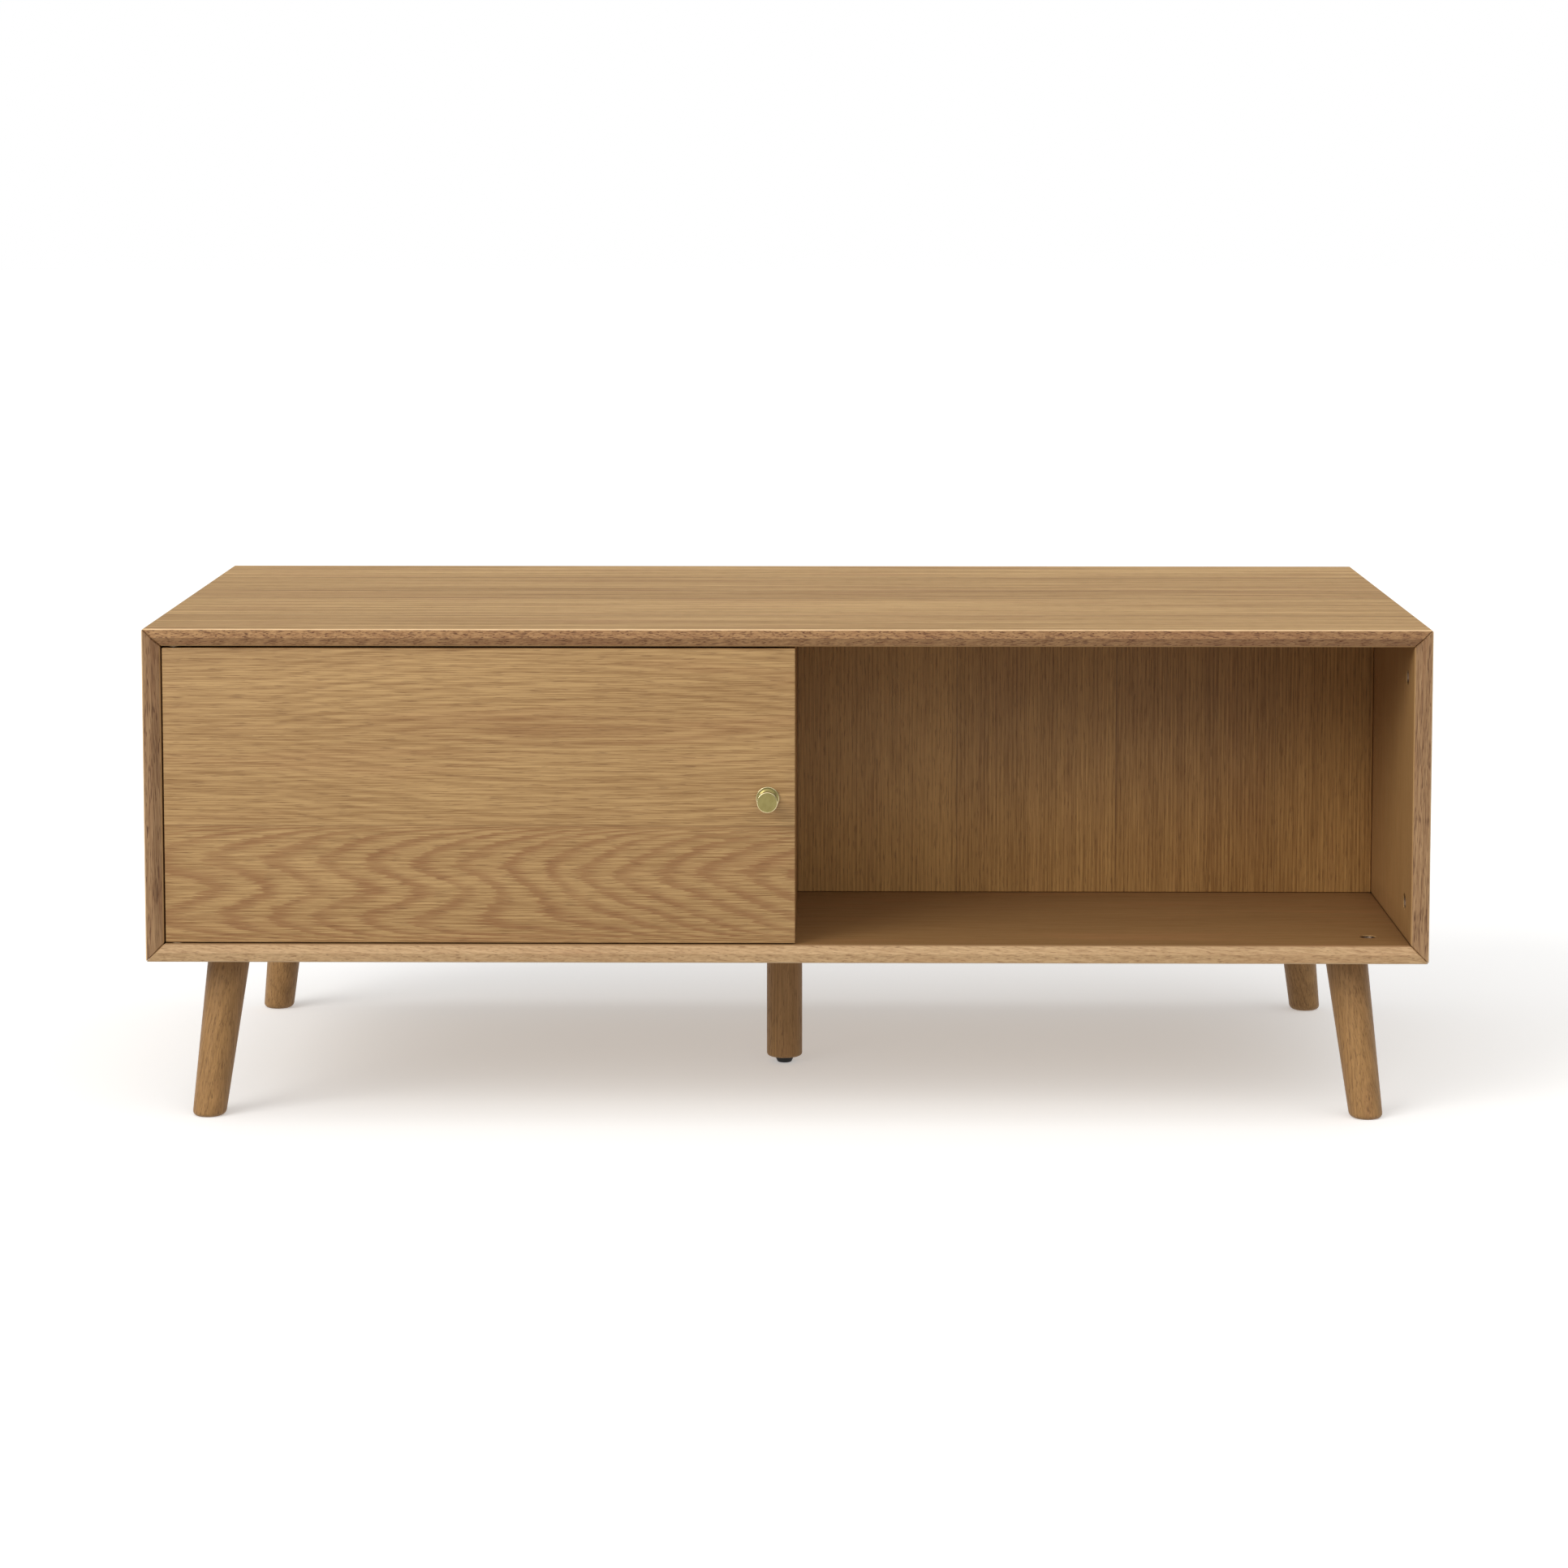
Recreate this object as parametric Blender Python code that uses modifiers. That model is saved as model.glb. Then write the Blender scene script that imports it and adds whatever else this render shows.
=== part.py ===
"""A low oak unit: a mitred box on five round legs, open to the front and to the rear.

Metres, +Z up. The origin is on the floor under the middle of the case. +X runs along the
case and the front is at -Y. The rear repeats the front, turned half a turn about Z.
"""

import math

import bmesh
import bpy
from mathutils import Matrix, Vector

# Driving dimensions: the case
CASE_WIDTH = 1.200
CASE_DEPTH = 0.600
CASE_HEIGHT = 0.314
LEG_CLEARANCE = 0.157  # floor to the underside of the case
BOARD = 0.0165  # veneered board, used for every panel and door
GAP = 0.0003  # between pieces that touch

# The solid lippings on the front and rear edges of the four case panels
LIPPING_DEPTH = 0.022
LIPPING_FLAT = 0.0085  # flat outer part of the lipping's face
LIPPING_FALL = 0.0055  # how far the bevelled inner part falls back
CORNER_EASE = 0.0012  # taken off the four long corners of the case
ARRIS_EASE = 0.0005  # taken off the lipping's outer front edge

# The inner panels
PARTITION_Y = -0.008  # middle of the partition
DIVIDER_SETBACK = 0.0245  # face of the case to the divider's front edge

# The doors and what hangs them
DOOR_SETBACK = 0.006  # face of the case to the door's front face
DOOR_SIDE_GAP = 0.0015
DOOR_TOP_GAP = 0.0022
DOOR_BOTTOM_GAP = 0.0012
DOOR_PAST_MIDDLE = 0.008  # the free edge laps the divider
PIVOT_FROM_SIDE = 0.012  # pivot axis to the side's inner face
PIVOT_FROM_FACE = 0.005  # pivot axis to the door's front face
PIN_RADIUS = 0.0025
PIN_OUT = 0.007
PIN_IN = 0.020
BUSH_BORE = 0.00258
BUSH_RADIUS = 0.004
BUSH_DEPTH = 0.009
BUSH_FLANGE_RADIUS = 0.005
BUSH_FLANGE = 0.0008
BUSH_WALL = 0.001
BUSH_SEAT = 0.0001  # the flange to the face that it rests on

# The knob, its screw and the catch
KNOB_FROM_EDGE = 0.0256  # knob axis to the door's free edge
KNOB_HEIGHT = 0.312  # knob axis above the floor
KNOB_LENGTH = 0.0277
KNOB_HEAD_RADIUS = 0.0097
KNOB_BASE_RADIUS = 0.01085
KNOB_NECK_RADIUS = 0.0044
KNOB_RIM = 0.0008  # bevel round the head, and the edges of head and base
KNOB_HEAD = 0.0050  # thickness of the head
KNOB_BASE = 0.0022  # thickness of the base
KNOB_HOLLOW_TOP = 0.006  # rise of the hollow under the head
KNOB_HOLLOW_FOOT = 0.008  # rise of the hollow above the base
KNOB_BORE_DEPTH = 0.012
SCREW_RADIUS = 0.002
SCREW_HEAD_RADIUS = 0.004
SCREW_HEAD = 0.0024
SCREW_SHORT = 0.001  # the screw ends this far from the bottom of the knob's bore
CATCH_HEIGHT = 0.425  # catch axis above the floor
MAGNET_RADIUS = 0.005
MAGNET_DEPTH = 0.008
STRIKE_RADIUS = 0.006
STRIKE_DEPTH = 0.002

# The cam housings of the mitre connectors
CAM_RADIUS = 0.0075
CAM_DEPTH = 0.0110
CAM_SUNK = 0.0006  # cam face below the panel's face
CAM_FROM_CORNER = 0.034  # cam axis to the adjoining panel's inner face
CAM_FROM_FACE = 0.050  # cam axis to the face of the case

# The legs
FOOT_INSET = 0.050  # middle of a foot to the faces of the case
SPLAY = math.radians(7.0)  # in both directions
LEG_TOP_RADIUS = 0.0200
LEG_FOOT_RADIUS = 0.0157
LEG_ROUND = 0.005
CENTRE_LEG_X = -0.0045
CENTRE_LEG_Y = -0.013
CENTRE_LEG_RADIUS = 0.0178
CENTRE_LEG_ROUND = 0.003
PAD_HEIGHT = 0.0066
PAD_TOP_RADIUS = 0.0093
PAD_FOOT_RADIUS = 0.0062
PAD_RIM = 0.0010
STUD_RADIUS = 0.003
STUD_LENGTH = 0.030
BOLT_RADIUS = 0.004
BOLT_IN_LEG = 0.030
BOLT_IN_PANEL = 0.012

# Worked out from the above
HALF_WIDTH = CASE_WIDTH / 2
HALF_DEPTH = CASE_DEPTH / 2
CASE_BOTTOM = LEG_CLEARANCE
CASE_TOP = LEG_CLEARANCE + CASE_HEIGHT
FLOOR_Z = CASE_BOTTOM + BOARD  # inner faces of the case
CEILING_Z = CASE_TOP - BOARD
SIDE_X = HALF_WIDTH - BOARD
CASE_MIDDLE_Z = CASE_BOTTOM + CASE_HEIGHT / 2
DOOR_Z = FLOOR_Z + DOOR_BOTTOM_GAP
DOOR_HEIGHT = CEILING_Z - DOOR_TOP_GAP - DOOR_Z
DOOR_FACE_Y = -HALF_DEPTH + DOOR_SETBACK
DOOR_BACK_Y = DOOR_FACE_Y + BOARD
PIVOT = Vector((-SIDE_X + PIVOT_FROM_SIDE, DOOR_FACE_Y + PIVOT_FROM_FACE, 0))
KNOB_X = DOOR_PAST_MIDDLE - KNOB_FROM_EDGE
HALF_TURN = Matrix.Rotation(math.pi, 4, "Z")
FACES = {"front": Matrix.Identity(4), "rear": HALF_TURN}
SAW_WASTE = 0.1  # share of a leg's length left at each end to be sawn off
ROUND = 24  # sides of a round piece
PAST = 0.005  # a cutter runs this far past a face
WELD = 0.00001  # points this close are one

# Base colour, metallic and roughness of each finish
FINISHES = {
    "oak_veneer": ((0.41, 0.26, 0.13), 0.0, 0.5),
    "oak_solid": ((0.37, 0.22, 0.11), 0.0, 0.5),
    "brass": ((0.55, 0.46, 0.20), 1.0, 0.3),
    "steel": ((0.52, 0.52, 0.53), 1.0, 0.35),
    "zinc": ((0.40, 0.40, 0.41), 1.0, 0.45),
    "black_plastic": ((0.01, 0.01, 0.01), 0.0, 0.5),
    "white_plastic": ((0.70, 0.70, 0.68), 0.0, 0.45),
}


def clear_scene():
    for obj in list(bpy.data.objects):
        bpy.data.objects.remove(obj, do_unlink=True)


def new_collection(name):
    collection = bpy.data.collections.new(name)
    bpy.context.scene.collection.children.link(collection)
    return collection


def finish(name, slot):
    """A material of its own for one piece, in the colour of its finish."""
    colour, metallic, roughness = FINISHES[slot]
    material = bpy.data.materials.new(name + "_" + slot)
    material.use_nodes = True
    shader = material.node_tree.nodes["Principled BSDF"]
    shader.inputs["Base Color"].default_value = (*colour, 1)
    shader.inputs["Metallic"].default_value = metallic
    shader.inputs["Roughness"].default_value = roughness
    return material


clear_scene()
PARTS = new_collection("low_oak_unit")
CUTTERS = new_collection("cutters")


def place(name, bm, slot, matrix=None, parent=None):
    """Turns a bmesh into a named piece, put where the matrix says."""
    bmesh.ops.recalc_face_normals(bm, faces=bm.faces)
    mesh = bpy.data.meshes.new(name)
    bm.to_mesh(mesh)
    bm.free()
    mesh.materials.append(finish(name, slot))
    obj = bpy.data.objects.new(name, mesh)
    PARTS.objects.link(obj)
    obj.matrix_world = matrix or Matrix.Identity(4)
    if parent:
        obj.parent = parent
        obj.matrix_parent_inverse = parent.matrix_world.inverted()
    return obj


def axis_empty(name, matrix):
    """An empty on a joint's axis, which carries every piece that turns about it."""
    empty = bpy.data.objects.new(name, None)
    PARTS.objects.link(empty)
    empty.empty_display_size = 0.05
    empty.matrix_world = matrix
    bpy.context.view_layer.update()
    return empty


def box(low, high):
    """A box from its lowest to its highest corner."""
    low, high = Vector(low), Vector(high)
    size = Matrix.Diagonal((*(high - low), 1))
    bm = bmesh.new()
    bmesh.ops.create_cube(bm, size=1, matrix=Matrix.Translation((low + high) / 2) @ size)
    return bm


def rod(bm, radius, start, end, sides=ROUND):
    """Adds a round bar from one point to another."""
    start, end = Vector(start), Vector(end)
    along = end - start
    turn = along.to_track_quat("Z", "Y").to_matrix().to_4x4()
    bmesh.ops.create_cone(
        bm,
        cap_ends=True,
        segments=sides,
        radius1=radius,
        radius2=radius,
        depth=along.length,
        matrix=Matrix.Translation((start + end) / 2) @ turn,
    )
    return bm


def saw(bm, point, outward):
    """Cuts off what lies beyond a plane and closes the cut."""
    geometry = bm.verts[:] + bm.edges[:] + bm.faces[:]
    bmesh.ops.bisect_plane(
        bm, geom=geometry, plane_co=point, plane_no=outward, clear_outer=True
    )
    open_edges = [edge for edge in bm.edges if edge.is_boundary]
    bmesh.ops.holes_fill(bm, edges=open_edges, sides=0)


def turned(name, profile, slot, matrix, parent=None):
    """A turned piece: a profile of (radius, height), from the top down its outer side."""
    bm = bmesh.new()
    points = [bm.verts.new((radius, 0, height)) for radius, height in profile]
    for start, end in zip(points, points[1:]):
        bm.edges.new((start, end))
    obj = place(name, bm, slot, matrix, parent)
    screw = obj.modifiers.new("turn", "SCREW")
    screw.steps = screw.render_steps = ROUND
    screw.use_merge_vertices = True
    screw.merge_threshold = WELD
    return obj


def drill(target, name, holes):
    """Cuts round holes, each (radius, start, end), out of a piece."""
    bm = bmesh.new()
    for radius, start, end in holes:
        rod(bm, radius, start, end)
    mesh = bpy.data.meshes.new(name)
    bm.to_mesh(mesh)
    bm.free()
    cutter = bpy.data.objects.new(name, mesh)
    CUTTERS.objects.link(cutter)
    cutter.matrix_world = target.matrix_world
    cutter.hide_render = True
    cutter.display_type = "WIRE"
    boolean = target.modifiers.new("holes", "BOOLEAN")
    boolean.operation = "DIFFERENCE"
    boolean.solver = "EXACT"
    boolean.object = cutter


def mitre(bm, corner, length_axis, inward):
    """Cuts both ends of a case board at 45 degrees and blunts their sharp tips.

    corner is the board's outer corner at its positive end, length_axis is where that end
    points, and inward is where the board's inner face looks.
    """
    for end in (1, -1):
        along = Vector(length_axis) * end
        tip = Vector(corner)
        for axis in range(3):
            if length_axis[axis]:
                tip[axis] *= end
        slope = (along + Vector(inward)).normalized()
        saw(bm, tip - slope * GAP / 2, slope)
        bisector = (along - Vector(inward)).normalized()
        saw(bm, tip - bisector * CORNER_EASE, bisector)


def case_board(side, start_y, end_y):
    """A mitred board of the case between two depths, as a bmesh."""
    if side in ("top", "bottom"):
        low_z = CEILING_Z if side == "top" else CASE_BOTTOM
        bm = box((-HALF_WIDTH, start_y, low_z), (HALF_WIDTH, end_y, low_z + BOARD))
        outer_z = CASE_TOP if side == "top" else CASE_BOTTOM
        inward = (0, 0, -1) if side == "top" else (0, 0, 1)
        mitre(bm, (HALF_WIDTH, 0, outer_z), (1, 0, 0), inward)
        return bm
    # A side is made about the case's middle height, then lifted, so that both its ends mirror.
    low_x = SIDE_X if side == "right" else -HALF_WIDTH
    half = CASE_HEIGHT / 2
    bm = box((low_x, start_y, -half), (low_x + BOARD, end_y, half))
    outer_x = HALF_WIDTH if side == "right" else -HALF_WIDTH
    inward = (-1, 0, 0) if side == "right" else (1, 0, 0)
    mitre(bm, (outer_x, 0, half), (0, 0, 1), inward)
    bmesh.ops.translate(bm, verts=bm.verts, vec=(0, 0, CASE_MIDDLE_Z))
    return bm


SIDES = {
    "top": ((0, 0, CASE_TOP), (0, 0, 1)),
    "bottom": ((0, 0, CASE_BOTTOM), (0, 0, -1)),
    "left": ((-HALF_WIDTH, 0, 0), (-1, 0, 0)),
    "right": ((HALF_WIDTH, 0, 0), (1, 0, 0)),
}


def lipping(side):
    """The solid strip on the front edge of one case board, with its bevel."""
    bm = case_board(side, -HALF_DEPTH, -HALF_DEPTH + LIPPING_DEPTH)
    outer_point, outward = SIDES[side]
    outward = Vector(outward)
    ridge = Vector(outer_point) - outward * LIPPING_FLAT + Vector((0, -HALF_DEPTH, 0))
    width = BOARD - LIPPING_FLAT
    slope = Vector((0, -width, 0)) - outward * LIPPING_FALL
    saw(bm, ridge, slope.normalized())
    edge = Vector(outer_point) + Vector((0, -HALF_DEPTH, 0))
    eased = (outward + Vector((0, -1, 0))).normalized()
    saw(bm, edge - eased * ARRIS_EASE, eased)
    return bm


def cams_of(side):
    """Where the cam housings of one case board open: (point on its face, way out)."""
    across = SIDE_X - CAM_FROM_CORNER
    level = CASE_HEIGHT / 2 - BOARD - CAM_FROM_CORNER
    depth = HALF_DEPTH - CAM_FROM_FACE
    found = {}
    for end in (1, -1):
        for face, y in (("front", -depth), ("rear", depth)):
            if side in ("top", "bottom"):
                where = "right" if end == 1 else "left"
                z = CEILING_Z if side == "top" else FLOOR_Z
                way = Vector((0, 0, -1 if side == "top" else 1))
                found[f"cam_{side}_{face}_{where}"] = (Vector((end * across, y, z)), way)
            else:
                where = "upper" if end == 1 else "lower"
                sign = 1 if side == "right" else -1
                point = Vector((sign * SIDE_X, y, CASE_MIDDLE_Z + end * level))
                found[f"cam_{side}_{face}_{where}"] = (point, Vector((-sign, 0, 0)))
    return found


def add_cams(side):
    """Sets the cam housings into one board and returns the holes that they need."""
    holes = []
    for name, (point, way) in cams_of(side).items():
        bm = bmesh.new()
        outer = point - way * CAM_SUNK
        rod(bm, CAM_RADIUS, outer - way * CAM_DEPTH, outer)
        place(name, bm, "zinc")
        bottom = outer - way * (CAM_DEPTH + GAP)
        holes.append((CAM_RADIUS + GAP, bottom, point + way * PAST))
    return holes


def leg_spots():
    """Name, middle of the foot and middle of the top of each splayed leg."""
    lean = math.tan(SPLAY) * LEG_CLEARANCE
    spots = []
    for face, sign_y in (("front", -1), ("rear", 1)):
        for side, sign_x in (("left", -1), ("right", 1)):
            foot_x, foot_y = HALF_WIDTH - FOOT_INSET, HALF_DEPTH - FOOT_INSET
            foot = Vector((sign_x * foot_x, sign_y * foot_y, 0))
            top = Vector((sign_x * (foot_x - lean), sign_y * (foot_y - lean), LEG_CLEARANCE))
            spots.append((f"{face}_{side}_leg", foot, top))
    return spots


def round_foot(bm, amount):
    """Rounds over the edge that stands on the floor."""
    edges = [edge for edge in bm.edges if all(vert.co.z < WELD for vert in edge.verts)]
    bmesh.ops.bevel(
        bm, geom=edges, offset=amount, segments=3, profile=0.5, affect="EDGES", material=-1
    )


def splayed_leg(foot, top):
    """A tapered round leg, sawn level at the floor and under the case."""
    along = top - foot
    spare = along * SAW_WASTE
    slope = (LEG_TOP_RADIUS - LEG_FOOT_RADIUS) * SAW_WASTE
    bm = bmesh.new()
    turn = along.to_track_quat("Z", "Y").to_matrix().to_4x4()
    bmesh.ops.create_cone(
        bm,
        cap_ends=True,
        segments=ROUND,
        radius1=LEG_FOOT_RADIUS - slope,
        radius2=LEG_TOP_RADIUS + slope,
        depth=(along + 2 * spare).length,
        matrix=Matrix.Translation((foot + top) / 2) @ turn,
    )
    saw(bm, (0, 0, 0), (0, 0, -1))
    saw(bm, (0, 0, LEG_CLEARANCE - GAP), (0, 0, 1))
    round_foot(bm, LEG_ROUND)
    return bm


def add_bolt(leg, name, top):
    """A hanger bolt up the leg's middle, its bore in the leg, and the hole it needs above."""
    bm = bmesh.new()
    low = Vector((top.x, top.y, LEG_CLEARANCE - BOLT_IN_LEG))
    high = Vector((top.x, top.y, LEG_CLEARANCE + BOLT_IN_PANEL))
    rod(bm, BOLT_RADIUS, low, high, sides=16)
    place(name + "_bolt", bm, "steel")
    clear = Vector((0, 0, GAP))
    past = Vector((0, 0, PAST))
    drill(leg, name + "_bore", [(BOLT_RADIUS + GAP, low - clear, Vector(top) + past)])
    start = Vector((top.x, top.y, LEG_CLEARANCE)) - past
    return BOLT_RADIUS + GAP, start, high + clear


def add_legs():
    """Makes the five legs and the levelling foot; returns the holes for their bolts."""
    holes = []
    for name, foot, top in leg_spots():
        leg = place(name, splayed_leg(foot, top), "oak_solid")
        holes.append(add_bolt(leg, name, top))
    bm = bmesh.new()
    top = Vector((CENTRE_LEG_X, CENTRE_LEG_Y, LEG_CLEARANCE))
    rod(bm, CENTRE_LEG_RADIUS, (0, 0, 0), (0, 0, LEG_CLEARANCE - GAP - PAD_HEIGHT))
    round_foot(bm, CENTRE_LEG_ROUND)
    where = Matrix.Translation((CENTRE_LEG_X, CENTRE_LEG_Y, PAD_HEIGHT))
    bmesh.ops.transform(bm, matrix=where, verts=bm.verts)
    leg = place("centre_leg", bm, "oak_solid")
    holes.append(add_bolt(leg, "centre_leg", top))
    stud_end = top - Vector((0, 0, LEG_CLEARANCE - PAD_HEIGHT - STUD_LENGTH - GAP))
    below = Vector((top.x, top.y, -PAST))
    drill(leg, "centre_leg_foot_bore", [(STUD_RADIUS + GAP, below, stud_end)])
    add_levelling_foot()
    return holes


def add_levelling_foot():
    """A round pad on a threaded stud. Its origin is on the stud's axis, on the floor."""
    pad_top = PAD_HEIGHT - GAP
    profile = [
        (0, PAD_HEIGHT + STUD_LENGTH),
        (STUD_RADIUS, PAD_HEIGHT + STUD_LENGTH),
        (STUD_RADIUS, pad_top),
        (PAD_TOP_RADIUS, pad_top),
        (PAD_TOP_RADIUS, pad_top - PAD_RIM),
        (PAD_FOOT_RADIUS + PAD_RIM, PAD_RIM),
        (PAD_FOOT_RADIUS, 0),
        (0, 0),
    ]
    where = Matrix.Translation((CENTRE_LEG_X, CENTRE_LEG_Y, 0))
    turned("levelling_foot", profile, "black_plastic", where)


def bush_matrix(z, up):
    """Stands a bush on an inner face of the case, its mouth looking up or down."""
    flip = Matrix.Identity(4) if up > 0 else Matrix.Rotation(math.pi, 4, "X")
    return Matrix.Translation((PIVOT.x, PIVOT.y, z)) @ flip


def bush_profile():
    """A flanged cup: from its floor up the bore, over the flange and down its outside."""
    floor = BUSH_FLANGE - BUSH_DEPTH
    return [
        (0, floor + BUSH_WALL),
        (BUSH_BORE, floor + BUSH_WALL),
        (BUSH_BORE, BUSH_FLANGE),
        (BUSH_FLANGE_RADIUS, BUSH_FLANGE),
        (BUSH_FLANGE_RADIUS, BUSH_SEAT),
        (BUSH_RADIUS, BUSH_SEAT),
        (BUSH_RADIUS, floor),
        (0, floor),
    ]


def bush_hole(z, up):
    """The hole that a bush needs, from past the face to under the bush."""
    point = Vector((PIVOT.x, PIVOT.y, z))
    way = Vector((0, 0, up))
    return BUSH_RADIUS + GAP, point - way * BUSH_DEPTH, point + way * PAST


def quarter(steps):
    """(sine, cosine) pairs from 0 to 90 degrees."""
    angles = [math.radians(90 * step / steps) for step in range(steps + 1)]
    return [(math.sin(angle), math.cos(angle)) for angle in angles]


def knob_profile():
    """Head, neck and base of the knob, from its head down, with a bore for the screw."""
    head, base, neck = KNOB_HEAD_RADIUS, KNOB_BASE_RADIUS, KNOB_NECK_RADIUS
    under_head = KNOB_LENGTH - KNOB_HEAD
    profile = [(0, KNOB_LENGTH), (head - KNOB_RIM, KNOB_LENGTH), (head, KNOB_LENGTH - KNOB_RIM)]
    profile.append((head, under_head + KNOB_RIM))
    # Two quarter arcs hollow out the neck, one under the head and one above the base.
    reach = head - KNOB_RIM - neck
    for sine, cosine in quarter(4):
        profile.append((neck + reach * (1 - sine), under_head - KNOB_HOLLOW_TOP * (1 - cosine)))
    reach = base - KNOB_RIM - neck
    for sine, cosine in quarter(4):
        profile.append((neck + reach * (1 - cosine), KNOB_BASE + KNOB_HOLLOW_FOOT * (1 - sine)))
    bore = SCREW_RADIUS + GAP
    profile += [(base, KNOB_BASE - KNOB_RIM), (base, GAP), (bore, GAP)]
    profile += [(bore, KNOB_BORE_DEPTH), (0, KNOB_BORE_DEPTH)]
    return profile


def screw_profile():
    """A pan-headed screw whose head ends at z = 0 and whose shank points up."""
    length = GAP + BOARD + KNOB_BORE_DEPTH - SCREW_SHORT
    return [
        (0, length),
        (SCREW_RADIUS, length),
        (SCREW_RADIUS, 0),
        (SCREW_HEAD_RADIUS, 0),
        (SCREW_HEAD_RADIUS * 0.9, -SCREW_HEAD * 0.7),
        (SCREW_HEAD_RADIUS * 0.5, -SCREW_HEAD),
        (0, -SCREW_HEAD),
    ]


def add_door(face, turn):
    """One door with its pins, knob, screw and strike disc, carried by an empty on its axis."""
    axis = axis_empty(face + "_door_axis", turn @ Matrix.Translation(PIVOT))
    low = Vector((-SIDE_X + DOOR_SIDE_GAP, DOOR_FACE_Y, DOOR_Z))
    high = Vector((DOOR_PAST_MIDDLE, DOOR_BACK_Y, DOOR_Z + DOOR_HEIGHT))
    at_pivot = turn @ Matrix.Translation(PIVOT)
    door = place(face + "_door", box(low - PIVOT, high - PIVOT), "oak_veneer", at_pivot, axis)
    # Hole positions are measured from the pivot, as the door's mesh is.
    knob = Vector((KNOB_X, DOOR_FACE_Y, KNOB_HEIGHT)) - PIVOT
    strike = Vector((0, DOOR_BACK_Y, CATCH_HEIGHT)) - PIVOT
    past = Vector((0, PAST, 0))
    through = Vector((0, BOARD, 0))
    holes = [(SCREW_RADIUS + GAP, knob - past, knob + through + past)]
    sink = Vector((0, STRIKE_DEPTH + GAP, 0))
    holes.append((STRIKE_RADIUS + GAP, strike - sink, strike + past))
    for where, end, way in (("top", high.z, 1), ("bottom", low.z, -1)):
        inner, outer = end - way * PIN_IN, end + way * PIN_OUT
        bm = rod(bmesh.new(), PIN_RADIUS, (0, 0, inner), (0, 0, outer), sides=24)
        place(f"{face}_door_pin_{where}", bm, "steel", at_pivot, axis)
        holes.append((PIN_RADIUS + GAP, (0, 0, inner - way * GAP), (0, 0, end + way * PAST)))
    drill(door, face + "_door_holes", holes)
    disc = rod(bmesh.new(), STRIKE_RADIUS, strike - sink + Vector((0, GAP, 0)), strike)
    place(face + "_strike_disc", disc, "steel", at_pivot, axis)
    outward = turn @ Matrix.Translation(PIVOT + knob) @ Matrix.Rotation(math.pi / 2, 4, "X")
    turned(face + "_knob", knob_profile(), "brass", outward, axis)
    back = Matrix.Translation((0, 0, -BOARD - GAP))
    turned(face + "_knob_screw", screw_profile(), "steel", outward @ back, axis)


def add_divider(face, turn, partition_face):
    """The upright between two compartments, with the catch magnet let into its edge."""
    start = -HALF_DEPTH + DIVIDER_SETBACK
    half = BOARD / 2
    low, high = (-half, start, FLOOR_Z + GAP), (half, partition_face - GAP, CEILING_Z - GAP)
    divider = place(face + "_divider", box(low, high), "oak_veneer", turn)
    mouth = Vector((0, start, CATCH_HEIGHT))
    inner = mouth + Vector((0, MAGNET_DEPTH, 0))
    hole = (MAGNET_RADIUS + GAP, mouth - Vector((0, PAST, 0)), inner + Vector((0, GAP, 0)))
    drill(divider, face + "_magnet_hole", [hole])
    magnet = rod(bmesh.new(), MAGNET_RADIUS, mouth, inner)
    place(face + "_catch_magnet", magnet, "zinc", turn)


def add_case():
    """The four panels, their lippings with the door bushes, and the cam housings."""
    inner = HALF_DEPTH - LIPPING_DEPTH - GAP
    leg_holes = add_legs()
    for side in SIDES:
        name = f"{side}_side_panel" if side in ("left", "right") else f"{side}_panel"
        panel = place(name, case_board(side, -inner, inner), "oak_veneer")
        holes = add_cams(side)
        if side == "bottom":
            holes += leg_holes
        drill(panel, name + "_holes", holes)
        for face, turn in FACES.items():
            strip_name = f"{face}_{side}_lipping"
            # Half a turn swaps left and right, so the rear strip is cut from the other side.
            swap = {"left": "right", "right": "left"} if face == "rear" else {}
            strip = place(strip_name, lipping(swap.get(side, side)), "oak_solid", turn)
            if side not in ("top", "bottom"):
                continue
            z, up = (FLOOR_Z, 1) if side == "bottom" else (CEILING_Z, -1)
            drill(strip, strip_name + "_bush_hole", [bush_hole(z, up)])
            where = turn @ bush_matrix(z, up)
            turned(f"{face}_door_bush_{side}", bush_profile(), "white_plastic", where)


def add_partition():
    """The upright panel across the case that backs the compartments."""
    low = (-SIDE_X + GAP, PARTITION_Y - BOARD / 2, FLOOR_Z + GAP)
    high = (SIDE_X - GAP, PARTITION_Y + BOARD / 2, CEILING_Z - GAP)
    place("partition", box(low, high), "oak_veneer")


add_case()
add_partition()
# Seen from the rear, the partition's near face is the one at the larger Y.
add_divider("front", FACES["front"], PARTITION_Y - BOARD / 2)
add_divider("rear", FACES["rear"], -(PARTITION_Y + BOARD / 2))
for face_name, face_turn in FACES.items():
    add_door(face_name, face_turn)
for piece in PARTS.objects:
    if piece.type == "MESH":
        piece.data.shade_smooth()
        piece.data.set_sharp_from_angle(angle=math.radians(30))
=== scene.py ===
# %% [markdown]
# # A low oak unit with inset doors
#
# The unit is a box of four mitred boards on five round legs. Each long side has a door on
# the left and an open compartment on the right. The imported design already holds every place,
# size and hinge. This lesson gives that design its looks: eased edges, veneer and solid oak,
# brass, the light and the camera.
#
# Everything is in metres, with +Z up, +X along the unit and the front at -Y.

# %% Load the design as a fixed frame
import math

import bmesh
import bpy
from mathutils import Matrix, Vector


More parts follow.
